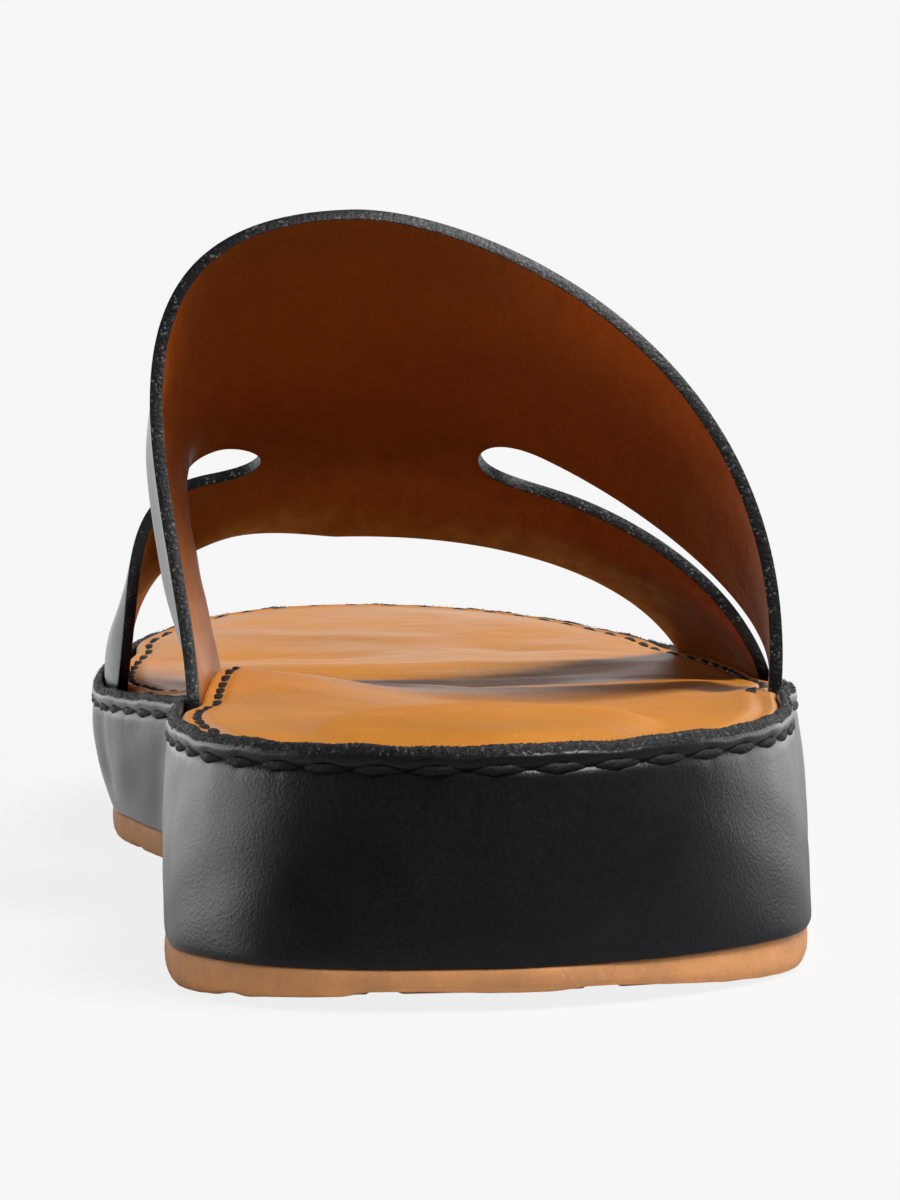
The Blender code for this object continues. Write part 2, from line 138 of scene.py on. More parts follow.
# Instep band: ribs from its front edge to its rear edge
UPPER_WALL = 1.6
STRAP_GAP = 0.15
SLOT_PLACE = 0.45
RIB_COLUMNS = ("name", "place", "inner_y", "crown_y", "outer_y", "crown_x", "crown_z",
               "inner_crown", "inner_wall", "inner_lean",
               "outer_crown", "outer_wall", "outer_lean")
RIBS = (
    ("front_edge", 0.00, 229.9, 178.0, 218.0, -13.5, 42.2, 4.7, 25.0, -3.0, 23.5, 12.6, -8.2),
    ("front_strap", 0.22, 192.4, 164.0, 158.0, -8.0, 47.4, 19.4, 18.8, 0.8, 26.0, 8.5, -3.5),
    ("slot", SLOT_PLACE, 159.8, 149.5, 121.5, -4.0, 54.3, 37.6, 31.5, 5.3, 21.5, 8.0, 4.8),
    ("rear_edge", 1.00, 84.5, 111.5, 92.6, -12.0, 85.7, 37.0, 22.3, 0.1, 14.8, 41.3, 4.7),
)
# Inner rear strap: how far its middle stands out, and where along and down the band
STRAP_BELLY = 1.8
BELLY_PLACE, BELLY_REACH = 0.84, 0.10
BELLY_START, BELLY_END = (0.3, 0.6), (1.0, 0.8)
# Slots: share of the way down where each starts, half openings at its end and at the strap feet, and
# how much narrower than a straight cut its edges are half way
SLOT_COLUMNS = ("end", "end_open", "base_front", "base_rear", "front_bow", "rear_bow")
SLOTS = {
    -1: dict(zip(SLOT_COLUMNS, (0.226, 0.072, 0.168, 0.229, 0.059, 0.021))),
    1: dict(zip(SLOT_COLUMNS, (0.135, 0.100, 0.235, 0.09, 0.085, 0.02))),
}
SLOT_END_ROUND = 0.16
BAND_BEVEL = 0.42

# Tread: wavy grooves across the forefoot and along the heel
GROOVE_DEPTH = 1.3
GROOVE_WIDTH = 3.4
GROOVE_SIDE_IN, GROOVE_SIDE_OUT = 0.5, 0.3
FORE_GROOVES = (0.545, 0.615, 0.685, 0.755, 0.825, 0.895)
FORE_WAVE, FORE_WAVELENGTH = 3.0, 38.0
HEEL_GROOVES = (-29.0, -14.0, 9.5, 25.0)
HEEL_GROOVE_END = 84.0
HEEL_WAVE, HEEL_WAVELENGTH = 1.6, 46.0
# Distance from the edge over which the grooves begin, with what the heel's back adds to it
TREAD_MARGIN, HEEL_MARGIN, HEEL_MARGIN_FADE = 3.0, 2.5, (10.0, 24.0)
# Lower edge of the outsole at the heel: a nick (lift, x and half width) and waves (lift, x of start, top
# and end); further on a share of the grooves shows in it
EDGE_NICK = (0.35, -29.3, 0.9)
EDGE_WAVES = ((0.5, -17.6, -14.1, 2.0), (0.5, 4.6, 10.0, 28.0))
EDGE_HEEL_END = (30.0, 50.0)
EDGE_GROOVES = 0.4
OUTSOLE_RIPPLE, OUTSOLE_RIPPLE_SIZE = 0.05, 7.0

# Sections of the outsole (way out, share of its height, share of the edge's waves) and of the rim (way
# out and drop under its top)
OUTSOLE_SECTION = (
    (-4.0, 1.0, 0.0), (-0.35, 1.0, 0.0), (-0.1, 0.93, 0.0), (0.02, 0.8, 0.0), (0.06, 0.6, 0.0),
    (0.02, 0.4, 0.075), (-0.06, 0.24, 0.21), (-0.25, 0.11, 0.45), (-0.55, 0.03, 0.75), (-0.95, 0.0, 0.975),
)
RIM_SECTION = (
    (-1.2, -3.3), (-0.7, -2.85), (-0.25, -2.5), (0.06, -2.15), (0.16, -1.8), (0.17, -1.5), (0.13, -1.28),
    (0.02, -1.12), (-0.06, -0.95), (-0.16, -0.7), (-0.28, -0.45), (-0.42, -0.2), (-0.62, -0.03),
    (-0.95, 0.0), (-1.25, -0.08), (-1.38, -0.35), (-1.4, -1.2), (-1.4, -3.3),
)
RIM_SWAY = ((0.10, 0.37, 0.0), (0.07, 0.81, 1.0))
RIM_PINCH, RIM_PINCH_SHARPNESS = 0.22, 6

# Wrap: tucks at its foot and under the seam, pull and dip at each stitch (depth and reach), the roll below
# the seam (rise, place and half width) and upright dents of the inner forefoot (depth, y, lean, half width)
FOOT_TUCK, SEAM_TUCK = (0.22, 0.25), (0.50, 0.45)
STITCH_PULL, STITCH_DIP, WRAP_PINCH_SHARPNESS = (0.12, 0.9), (0.12, 0.5), 10
SEAM_ROLL = (0.06, 1.0, 0.6)
DENTS = ((-0.9, 184.0, 0.25, 4.2), (0.35, 174.0, 0.0, 5.0), (-0.35, 158.0, -0.2, 4.0))
DENT_FADE = (4.0, 10.0)
WRAP_RIPPLE, WRAP_RIPPLE_SIZE, WRAP_RIPPLE_LEAN, WRAP_RIPPLE_FADE = 0.10, 31.0, 2.2, (0.5, 4.0)
WRAP_LEVELS = np.concatenate([
    [0.0, 0.006, 0.02, 0.05], np.linspace(0.1, 0.84, 12), 1 - np.geomspace(0.12, 0.004, 9), [1.0]])
WRAP_TURN_IN, WRAP_LID_DROP = 4.0, 0.1

# Seams: drop under the rim's top, thread section and the points along one stitch
SEAM_DROP, SEAM_PLAY = 2.5, 0.05
THREAD_SIDES, THREAD_TWIST, THREAD_FLAT, THREAD_LAY = 10, 1.3, 0.62, 0.13
THREAD_TIP, THREAD_TAPER = 0.04, 0.62
STITCH_POINTS = 15
# The footbed's seam starts at these y on the inner and the outer side
SEAM_STARTS = {-1: 21.0, 1: 82.0}

# Fineness of the pieces
RIM_POINTS = 1536
WRAP_POINTS = 768
PAD_ACROSS = 96
SOLE_ACROSS = 72
FINE_POINTS = 1440
PACKED_POINTS = 128
MERGE = 1e-6
POINTS_AT_ONCE = 2000

# Soft creases of the footbed: from and to in plan, depth and half width
FOOTBED_CREASES = (
    (-33.0, 172.0, 20.0, 160.0, -0.70, 3.2),
    (-36.0, 184.0, 32.0, 171.0, 0.65, 4.0),
    (-36.0, 197.0, 24.0, 186.0, -0.65, 3.6),
    (-30.0, 154.0, 6.0, 149.0, 0.55, 3.5),
    (2.0, 150.0, 33.0, 142.0, -0.60, 3.4),
    (-34.0, 208.0, 34.0, 196.0, 0.70, 4.5),
    (-40.0, 222.0, -4.0, 215.0, -0.40, 3.4),
    (4.0, 226.0, 30.0, 214.0, -0.36, 3.2),
    (-30.0, 240.0, 6.0, 234.0, 0.30, 4.0),
)
# Fine wrinkles of the lining: from and to (across and along the band, about millimetres), depth, half width
LINING_CREASES = (
    (-7.0, 40.0, 4.0, 52.0, 0.11, 0.9),
    (-4.0, 38.0, 7.0, 49.0, 0.09, 0.8),
    (-11.0, 43.0, 0.0, 55.0, 0.09, 0.9),
    (-16.0, 47.0, -8.0, 60.0, 0.08, 1.0),
    (3.0, 44.0, 12.0, 58.0, 0.07, 1.0),
)
LINING_ACROSS, LINING_ALONG = 50.0, 70.0
# Creases wander: sway and frequency of a slow and of a quick bend
CREASE_SWAY, CREASE_JITTER = (1.6, 5.0), (0.7, 13.0)
CREASE_START, CREASE_END = (-0.1, 0.3), (0.7, 1.1)
# Waves of soft unevenness: their number, the turn and the quickening from each to the next
RIPPLE_WAVES, RIPPLE_TURN, RIPPLE_QUICKENING = 4, 1.7, 0.37


def smooth_through(xs, ys, x):
    """Monotone cubic curve through a table's points."""
    xs = np.asarray(xs, float)
    ys = np.asarray(ys, float)
    steps = np.diff(xs)
    slopes = np.diff(ys) / steps
    tangents = np.zeros(len(xs))
    tangents[0], tangents[-1] = slopes[0], slopes[-1]
    for k in range(1, len(xs) - 1):
        before, after = slopes[k - 1], slopes[k]
        if before * after > 0.0:
            weight_a = 2.0 * steps[k] + steps[k - 1]
            weight_b = steps[k] + 2.0 * steps[k - 1]
            tangents[k] = (weight_a + weight_b) / (weight_a / before + weight_b / after)
    x = np.clip(np.asarray(x, float), xs[0], xs[-1])
    k = np.clip(np.searchsorted(xs, x, side="right") - 1, 0, len(steps) - 1)
    t = (x - xs[k]) / steps[k]
    return ((1 + 2 * t) * (1 - t) ** 2 * ys[k] + t * (1 - t) ** 2 * steps[k] * tangents[k]
            + t * t * (3 - 2 * t) * ys[k + 1] + t * t * (t - 1) * steps[k] * tangents[k + 1])


def ease(low, high, x):
    """0 below low, 1 above high, smooth between."""
    t = np.clip((np.asarray(x, float) - low) / (high - low), 0.0, 1.0)
    return t * t * (3 - 2 * t)


def bell(x, middle, half_width):
    """1 at the middle, fading to both sides."""
    return np.exp(-((x - middle) / half_width) ** 2)


def decay(depth, reach, distance):
    """A depth that fades with distance."""
    return depth * np.exp(-distance / reach)


def plan(column, share):
    """A column of the plan table at a share of the length."""
    k = PLAN_COLUMNS.index(column)
    return smooth_through([row[0] for row in PLAN], [row[k] for row in PLAN], share)


def rim_top(y):
    """Height of the rim's top edge along the sandal."""
    return plan("rim_top", np.asarray(y, float) / LENGTH)


def ground(y):
    """Underside of the sole: flat heel and ball, a low arch and the toe spring."""
    share = np.asarray(y, float) / LENGTH
    spring = TOE_SPRING * np.clip((share - SPRING_START) / (1 - SPRING_START), 0, None) ** 2
    middle = 0.5 * (ARCH_START + ARCH_END)
    arch = ARCH_LIFT * ease(ARCH_START, middle, share) * (1 - ease(middle, ARCH_END, share))
    return spring + arch


def tread_face(y):
    """Lowest face of the outsole: the underside, rolled up a little at the heel's back."""
    roll = np.clip(1 - np.asarray(y, float) / HEEL_ROLL_END, 0, 1)
    return ground(y) + HEEL_ROLL * roll ** 2


def joint(y):
    """Where the wrap meets the outsole, a little higher at the heel."""
    return ground(y) + OUTSOLE_THICKNESS + HEEL_JOINT_RISE * (1 - ease(*HEEL_JOINT_FADE, y))


def turns(points):
    """Angles of a loop's points, from the heel round the outer side to the toe and back."""
    return 2 * math.pi * np.arange(points) / points


def outline(angle):
    """Point of the plan outline."""
    share = (1 - np.cos(angle)) / 2
    x = plan("centre", share) + plan("fullness", share) * np.sin(angle)
    return np.stack([x, LENGTH * share], -1)


def outward(angle):
    """Direction out of the sole in plan."""
    step = 0.004
    tangent = outline(angle + step) - outline(angle - step)
    tangent /= np.linalg.norm(tangent, axis=-1)[..., None]
    return np.stack([tangent[..., 1], -tangent[..., 0]], -1)


def loop(offset, angle):
    """Outline moved outwards by an offset, which may change from point to point."""
    return outline(angle) + outward(angle) * np.broadcast_to(offset, angle.shape)[..., None]


def flare(angle, level):
    """How far the wall stands out under the rim at a share of its height, most at the heel's corners."""
    out = plan("tuck", (1 - np.cos(angle)) / 2) * (1 - level) ** FLARE_BEND
    from_heel = np.minimum(angle, 2 * math.pi - angle)
    for side, start, full, end, reach in CORNERS:
        corner = ease(start, full, from_heel) * ease(end, full, from_heel) * (np.sin(angle) * side > 0)
        out = out + reach * corner * (1 - level)
    return out


def run_length(points):
    """Distance along a closed row of points, and the whole length round."""
    steps = np.linalg.norm(np.roll(points, -1, axis=0) - points, axis=1)
    return np.concatenate([[0.0], np.cumsum(steps)[:-1]]), steps.sum()


def stitch_phase(angle, pitch):
    """Turns of the seam's stitches at each angle, with a whole number of stitches round the sole."""
    fine = turns(FINE_POINTS)
    along, whole = run_length(loop(0.0, fine))
    count = round(whole / pitch)
    along = np.append(along, whole)
    fine = np.append(fine, 2 * math.pi)
    return np.interp(angle, fine, along) / whole * count


def stitch_pinch(phase, sharpness):
    """1 where the thread goes through the leather and 0 between."""
    return np.abs(np.cos(math.pi * phase)) ** sharpness


def ripple(x, y, size, seed):
    """Soft unevenness between -1 and 1 made of a few crossing waves."""
    total = 0.0
    for k in range(RIPPLE_WAVES):
        turn = RIPPLE_TURN * k + 0.61 * seed
        wave = (1.0 + RIPPLE_QUICKENING * k) / size
        total = total + np.sin(wave * (x * math.cos(turn) + y * math.sin(turn)) * 2 * math.pi + 2.3 * seed + k)
    return total / RIPPLE_WAVES


def crease_field(x, y, creases):
    """Sum of soft troughs and ridges that run from one point to another."""
    total = np.zeros(np.shape(x))
    for x0, y0, x1, y1, depth, width in creases:
        dx, dy = x1 - x0, y1 - y0
        length = math.hypot(dx, dy)
        along = ((x - x0) * dx + (y - y0) * dy) / length ** 2
        off = ((x - x0) * dy - (y - y0) * dx) / length
        off = off + CREASE_SWAY[0] * np.sin(along * CREASE_SWAY[1] + x0)
        off = off + CREASE_JITTER[0] * np.sin(along * CREASE_JITTER[1] + y0)
        taper = ease(*CREASE_START, along) * (1 - ease(*CREASE_END, along))
        total = total + depth * bell(off, 0.0, width) * taper
    return total


# Instep band
def rib(column, place):
    """A column of the rib table between the front edge (0) and the rear edge (1)."""
    k = RIB_COLUMNS.index(column)
    return smooth_through([row[1] for row in RIBS], [row[k] for row in RIBS], place)


def edge_x(side, inset, y):
    """Where the inset outline crosses a given y on the inner (-1) or outer (+1) side."""
    start = 0.0 if side > 0 else 2 * math.pi
    line = loop(-inset, np.linspace(start, math.pi, FINE_POINTS // 2))
    return np.interp(y, line[:, 1], line[:, 0])


def band_point(side, down, place):
    """Inner face of the band: down runs from the crown (0) to the rim (1) on one side."""
    name = "inner" if side < 0 else "outer"
    down, place = np.broadcast_arrays(np.asarray(down, float), np.asarray(place, float))
    crown_x, crown_y, crown_z = (rib(c, place) for c in ("crown_x", "crown_y", "crown_z"))
    base_y = rib(name + "_y", place)
    base_x = edge_x(side, RIM_WALL + GAP + UPPER_WALL, base_y)
    base_z = rim_top(base_y)
    handles = (
        (crown_x, crown_z),
        (crown_x + side * rib(name + "_crown", place), crown_z),
        (base_x + side * rib(name + "_lean", place), base_z + rib(name + "_wall", place)),
        (base_x, base_z),
    )
    weights = ((1 - down) ** 3, 3 * down * (1 - down) ** 2, 3 * down * down * (1 - down), down ** 3)
    x = sum(w * h[0] for w, h in zip(weights, handles))
    z = sum(w * h[1] for w, h in zip(weights, handles))
    if side < 0:
        belly = bell(place, BELLY_PLACE, BELLY_REACH)
        x = x - STRAP_BELLY * belly * ease(*BELLY_START, down) * ease(*BELLY_END, down)
    return np.stack([x, crown_y + (base_y - crown_y) * down * down, z], -1)


def slot_edges(side, down):
    """Places of a slot's front and rear edges, equal where the leather is whole."""
    slot = SLOTS[side]
    run = np.clip((down - slot["end"]) / (1 - slot["end"]), 0.0, None)
    turn = np.clip(run / SLOT_END_ROUND, 0.0, 1.0)
    rounding = np.sqrt(1 - (1 - turn) ** 2)
    bow = 4 * run * (1 - run)
    front = slot["end_open"] + (slot["base_front"] - slot["end_open"]) * run - slot["front_bow"] * bow
    rear = slot["end_open"] + (slot["base_rear"] - slot["end_open"]) * run - slot["rear_bow"] * bow
    return SLOT_PLACE - front * rounding, SLOT_PLACE + rear * rounding


def strap_feet(side):
    """Stretches of the rim, as pairs of y, that a side's strap feet take up."""
    column = "inner_y" if side < 0 else "outer_y"
    front = rib(column, np.array([0.0, SLOT_PLACE - SLOTS[side]["base_front"]]))
    rear = rib(column, np.array([SLOT_PLACE + SLOTS[side]["base_rear"], 1.0]))
    return ((front[1], front[0]), (rear[1], rear[0]))


def strap_share(angle):
    """1 where a strap foot stands behind the rim and 0 where the rim is free."""
    y = loop(-RIM_WALL, angle)[:, 1]
    taken = np.zeros(angle.shape)
    for side in (-1, 1):
        on_side = np.sin(angle) * side > 0
        for low, high in strap_feet(side):
            before = ease(low - NOTCH_MARGIN - NOTCH_RAMP, low - NOTCH_MARGIN, y)
            after = ease(high + NOTCH_MARGIN, high + NOTCH_MARGIN + NOTCH_RAMP, y)
            taken = np.maximum(taken, np.where(on_side, before * (1 - after), 0.0))
    return taken


# Footbed
def footbed_inset(angle):
    """How far the footbed's edge lies inside the outline: it makes room for the straps."""
    return RIM_WALL + FOOTBED_PLAY + strap_share(angle) * (GAP + UPPER_WALL + STRAP_GAP)


def footbed_lip(x, y):
    """Height of the footbed's edge over the rim: sunk round the heel, level further on."""
    deep = HEEL_LIP + HEEL_BACK_LIP * ease(*HEEL_BACK, y)
    return deep + (FOOTBED_LIP - deep) * np.where(x < 0, ease(*INNER_LEVEL, y), ease(*OUTER_LEVEL, y))


def footbed_height(x, y, from_edge):
    """Top of the footbed: lip, stitch groove, pads and soft creases."""
    sink = ease(*LIP_REACH, from_edge)
    inside = FOOTBED_LIP + HEEL_SINK * (1 - ease(*SINK_FADE, y))
    lip = footbed_lip(x, y) * sink + inside * (1 - sink)
    height = rim_top(y) + lip + FOOTBED_CROWN * ease(0.0, CROWN_REACH, from_edge)
    fade = ease(0.0, PAD_FADE, from_edge)
    for name, px, py, half_width, half_length, rise, steep in PADS:
        reach = ((x - px) / half_width) ** 2 + ((y - py) / half_length) ** 2
        height = height + rise * np.exp(-reach ** steep) * (1.0 if name.startswith("arch") else fade)
    for rise, middle, half_width in (SEAM_GROOVE, SEAM_RIDGE):
        height = height + rise * bell(from_edge, middle, half_width)
    away = ease(*CREASE_REACH, from_edge)
    height = height + crease_field(x, y, FOOTBED_CREASES) * away
    return height + FOOTBED_RIPPLE * ripple(x, y, FOOTBED_RIPPLE_SIZE, 3) * away


# Tread
def groove_depth(x, y):
    """Depth of the tread's grooves at a point of the underside."""
    inner, outer = GROOVE_WIDTH / 2 - GROOVE_SIDE_IN, GROOVE_WIDTH / 2 + GROOVE_SIDE_OUT
    depth = np.zeros(np.shape(x))
    for share in FORE_GROOVES:
        off = np.abs(y - LENGTH * share - FORE_WAVE * np.sin(2 * math.pi * x / FORE_WAVELENGTH))
        depth = np.maximum(depth, 1 - ease(inner, outer, off))
    end = 1 - ease(HEEL_GROOVE_END - 1.0, HEEL_GROOVE_END + 1.0, y)
    for groove in HEEL_GROOVES:
        off = np.abs(x - groove - HEEL_WAVE * np.sin(2 * math.pi * y / HEEL_WAVELENGTH))
        depth = np.maximum(depth, (1 - ease(inner, outer, off)) * end)
    return depth * GROOVE_DEPTH


def edge_wave(flat):
    """How far the tread lifts the outsole's lower edge: soft waves at the heel, shallow notches further on."""
    x, y = flat[..., 0], flat[..., 1]
    heel = 1 - ease(*EDGE_HEEL_END, y)
    lift, middle, half_width = EDGE_NICK
    wave = lift * bell(x, middle, half_width)
    for lift, start, top, end in EDGE_WAVES:
        wave = wave + lift * ease(start, top, x) * (1 - ease(top, end, x))
    return heel * wave + (1 - heel) * EDGE_GROOVES * groove_depth(x, y)


# Laying meshes in the frame
def frame_shift():
    """Move from the heel-based millimetres to the frame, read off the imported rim."""
    low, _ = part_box("rim")
    flat = loop(0.0, turns(PACKED_POINTS))
    return np.array([low.x / MM - flat[:, 0].min(), low.y / MM - flat[:, 1].min(), 0.0])


SHIFT = frame_shift()


def to_frame(points):
    """Millimetres to metres of the frame."""
    return (np.asarray(points, float) + SHIFT) * MM


def deselect():
    for piece in bpy.context.selected_objects:
        piece.select_set(False)


def lay_grid(name, points, **values):
    """Grid primitive shaped to rows of points, with values kept on its points."""
    rows, columns = points.shape[:2]
    deselect()
    bpy.ops.mesh.primitive_grid_add(x_subdivisions=columns - 1, y_subdivisions=rows - 1, size=1.0)
    piece = bpy.context.object
    piece.name = piece.data.name = name
    piece.data.vertices.foreach_set("co", to_frame(points).reshape(-1).astype(np.float32))
    for key, value in values.items():
        layer = piece.data.attributes.new(key, "FLOAT", "POINT")
        layer.data.foreach_set("value", np.broadcast_to(value, (rows, columns)).reshape(-1).astype(np.float32))
    piece.data.update()
    return piece


def kept_values(mesh, key):
    """Values that lay_grid kept on a mesh's points."""
    values = np.zeros(len(mesh.vertices), np.float32)
    mesh.attributes[key].data.foreach_get("value", values)
    return values


def choose(piece):
    """Makes a piece the active one and the only one selected."""
    deselect()
    piece.select_set(True)
    bpy.context.view_layer.objects.active = piece


def in_edit_mode(piece, *steps):
    """Takes a piece through edit mode steps, each on the whole mesh."""
    choose(piece)
    bpy.ops.object.mode_set(mode="EDIT")
    for step, settings in steps:
        bpy.ops.mesh.select_all(action="SELECT")
        step(**settings)
    bpy.ops.object.mode_set(mode="OBJECT")


OUTWARDS = (bpy.ops.mesh.normals_make_consistent, {"inside": False})
MERGED = (bpy.ops.mesh.remove_doubles, {"threshold": MERGE})
FLIPPED = (bpy.ops.mesh.flip_normals, {})


def sew(name, grids):
    """Joins grids along their common edges into one piece with its faces turned one way."""
    choose(grids[0])
    for piece in grids:
        piece.select_set(True)
    if len(grids) > 1:
        bpy.ops.object.join()
    piece = bpy.context.object
    piece.name = piece.data.name = name
    in_edit_mode(piece, MERGED, OUTWARDS)
    bpy.ops.object.shade_smooth()
    return piece


def apply_modifier(piece, kind, name, **settings):
    """Adds a modifier and applies it."""
    bpy.context.view_layer.objects.active = piece
    modifier = piece.modifiers.new(name, kind)
    for key, value in settings.items():
        setattr(modifier, key, value)
    bpy.ops.object.modifier_apply(modifier=name)


def across(ring, steps):
    """Rows from a closed ring's outer side to its inner side, which fill the ring."""
    count = len(ring)
    half = count // 2
    outer = ring[:half + 1]
    inner = ring[np.r_[0, np.arange(count - 1, half - 1, -1)]]
    share = np.linspace(0.0, 1.0, steps + 1)[None, :, None]
    return outer[:, None, :] * (1 - share) + inner[:, None, :] * share


def closed(rings):
    """Rings as grid rows with the first column repeated at the end."""
    stack = np.stack(rings)
    return np.concatenate([stack, stack[:, :1]], axis=1)


def edge_distance(flat, ring):
    """Distance of plan points from a ring."""
    points = flat.reshape(-1, 2)
    best = np.empty(len(points))
    for start in range(0, len(points), POINTS_AT_ONCE):
        part = slice(start, start + POINTS_AT_ONCE)
        best[part] = np.linalg.norm(points[part][:, None] - ring[None], axis=2).min(axis=1)
    return best.reshape(flat.shape[:-1])


def lifted(flat, height):
    """Plan points with their heights."""
    return np.concatenate([flat, np.broadcast_to(height, flat.shape[:-1])[..., None]], axis=-1)


def strands(name, paths, widths, outs):
    """Short twisted threads, one for each path of points, joined in one piece."""
    verts, faces = [], []
    sides = THREAD_SIDES
    turn = np.linspace(0, 2 * math.pi, sides, endpoint=False)
    for path, out in zip(paths, outs):
        count = len(path)
        t = np.linspace(0.0, 1.0, count)
        forward = np.gradient(path, axis=0)
        forward /= np.linalg.norm(forward, axis=1)[:, None]
        side = np.cross(forward, out)
        side /= np.linalg.norm(side, axis=1)[:, None]
        lift = np.cross(side, forward)
        bulge = np.clip(np.sin(math.pi * np.clip(t, THREAD_TIP, 1 - THREAD_TIP)), 0, 1)
        radius = widths / 2 * bulge ** THREAD_TAPER
        start = len(verts)
        for k in range(count):
            wave = 1 + THREAD_LAY * np.cos(2 * (turn - THREAD_TWIST * 2 * math.pi * t[k]))
            around = np.cos(turn)[:, None] * side[k] + THREAD_FLAT * np.sin(turn)[:, None] * lift[k]
            verts.extend(path[k] + radius[k] * wave[:, None] * around)
        for k in range(count - 1):
            for n in range(sides):
                a, b = start + k * sides + n, start + k * sides + (n + 1) % sides
                faces.append((a, b, b + sides, a + sides))
        faces.append(tuple(start + n for n in reversed(range(sides))))
        faces.append(tuple(start + (count - 1) * sides + n for n in range(sides)))
    return from_faces(name, np.array(verts), faces)


def from_faces(name, verts, faces):
    """A piece from many small joined shapes."""
    mesh = bpy.data.meshes.new(name)
    mesh.from_pydata([tuple(point) for point in to_frame(verts)], [], faces)
    mesh.update()
    piece = bpy.data.objects.new(name, mesh)
    bpy.context.collection.objects.link(piece)
    in_edit_mode(piece, OUTWARDS)
    bpy.ops.object.shade_smooth()
    return piece


def settle(piece, node=None):
    """Rides on the sandal's one body and, given a part's name, hides that imported solid, whose place the piece
    takes.
    """
    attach(piece, "root")
    if node:
        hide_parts(node)


# Materials
class Value:
    """A socket of a node tree; sums and products of values add Math nodes."""

    def __init__(self, nodes, socket):
        self.nodes = nodes
        self.socket = socket

    def math(self, operation, *values):
        return self.nodes.node("ShaderNodeMath", {"operation": operation}, dict(enumerate(values)))

    def __add__(self, other):
        return self.math("ADD", self, other)

    def __radd__(self, other):
        return self.math("ADD", other, self)

    def __mul__(self, other):
        return self.math("MULTIPLY", self, other)

    def __rmul__(self, other):
        return self.math("MULTIPLY", other, self)

    def __abs__(self):
        return self.math("ABSOLUTE", self)


class Nodes:
    """A node tree that grows node by node."""

    def __init__(self, tree):
        self.tree = tree

    def node(self, kind, settings, sockets, out=0):
        made = self.tree.nodes.new(kind)
        for key, value in settings.items():
            setattr(made, key, value)
        for key, value in sockets.items():
            self.feed(made.inputs[key], value)
        return Value(self, made.outputs[out])

    def feed(self, socket, value):
        if isinstance(value, Value):
            self.tree.links.new(value.socket, socket)
        else:
            socket.default_value = value

    def between(self, value, low, high, to_low=0.0, to_high=1.0):
        """A value carried from one range to another, smooth at the ends."""
        return self.node("ShaderNodeMapRange", {"interpolation_type": "SMOOTHSTEP"}, {
            "Value": value, "From Min": low, "From Max": high, "To Min": to_low, "To Max": to_high})

    def along(self, axis, vector):
        """One coordinate of a vector."""
        return self.node("ShaderNodeSeparateXYZ", {}, {0: vector}, axis)

    def ray(self, kind):
        """1 for one kind of light ray."""
        return self.node("ShaderNodeLightPath", {}, {}, "Is %s Ray" % kind)

    def glow(self, kind, tone, strength):
        """Even grey light of an Emission or a Background node."""
        return self.node("ShaderNode" + kind, {}, {"Color": grey(tone), "Strength": strength})

    def either(self, share, first, second):
        """Shader between two shaders."""
        return self.node("ShaderNodeMixShader", {}, {0: share, 1: first, 2: second})


class Finish(Nodes):
    """A material and the sockets of its shader."""

    def __init__(self, name):
        self.material = bpy.data.materials.new(name)
        self.material.use_nodes = True
        super().__init__(self.material.node_tree)
        self.shader = self.tree.nodes["Principled BSDF"]

    def set(self, **sockets):
        for key, value in sockets.items():
            self.feed(self.shader.inputs[key.replace("_", " ").title().replace("Ior", "IOR")], value)
        return self.material

    def place(self):
        """Object coordinates."""
        return self.node("ShaderNodeTexCoord", {}, {}, "Object")

    def attribute(self, name):
        """A value kept on the mesh."""
        return self.node("ShaderNodeAttribute", {"attribute_name": name}, {}, "Fac")

    def stretched(self, scale):
        """Object coordinates stretched along the axes."""
        return self.node("ShaderNodeMapping", {}, {"Vector": self.place(), "Scale": scale})

    def noise(self, size, detail, rough=0.55, at=None):
        """Noise with features of a size in metres."""
        return self.node("ShaderNodeTexNoise", {}, {
            "Vector": at or self.place(), "Scale": 1.0 / size, "Detail": detail, "Roughness": rough})

    def cells(self, size, feature="SMOOTH_F1"):
        """Distance to the middle of cells of a size in metres."""
        return self.node("ShaderNodeTexVoronoi", {"feature": feature}, {
            "Vector": self.place(), "Scale": 1.0 / size})

    def blend(self, share, first, second):
        """Colour between two colours."""
        return self.node("ShaderNodeMix", {"data_type": "RGBA"}, {0: share, 6: first, 7: second}, 2)

    def cloudy(self, cloud, colour, dark, pale):
        """A colour that drifts between a darker and a paler gain."""
        return self.blend(self.between(cloud, 0.3, 0.7), rgba(colour, dark), rgba(colour, pale))

    def bump(self, height, depth, strength, over=None):
        """Normal tilted by a height; depth is in metres."""
        sockets = {"Height": height, "Distance": depth, "Strength": strength}
        if over:
            sockets["Normal"] = over
        return self.node("ShaderNodeBump", {}, sockets)


def rgba(colour, gain=1.0):
    return (colour[0] * gain, colour[1] * gain, colour[2] * gain, 1.0)


def grey(tone):
    return (tone, tone, tone, 1.0)


def black_leather(name, colour, grain, shine):
    """Fine-grained black leather: pebbles, pores darkened with painted shade and a soft uneven gloss."""
    finish = Finish(name)
    pebbles = finish.cells(grain)
    fine = finish.noise(grain * 0.5, 2.0)
    cloud = finish.noise(0.014, 3.0)
    shade = finish.cloudy(cloud, colour, 1.1, 1.5)
    # Painted shade: the pores, the pits of the grain's bump, are darker
    pores = finish.between(pebbles, 0.55, 0.2) * 0.55
    return finish.set(
        base_color=finish.blend(pores, shade, rgba(colour, 0.25)),
        roughness=finish.between(cloud + 0.3 * fine, 0.45, 0.85, shine - 0.02, shine + 0.05),
        normal=finish.bump(pebbles + 0.4 * fine, grain * 0.16, 0.45),
        specular_ior_level=0.5,
    )


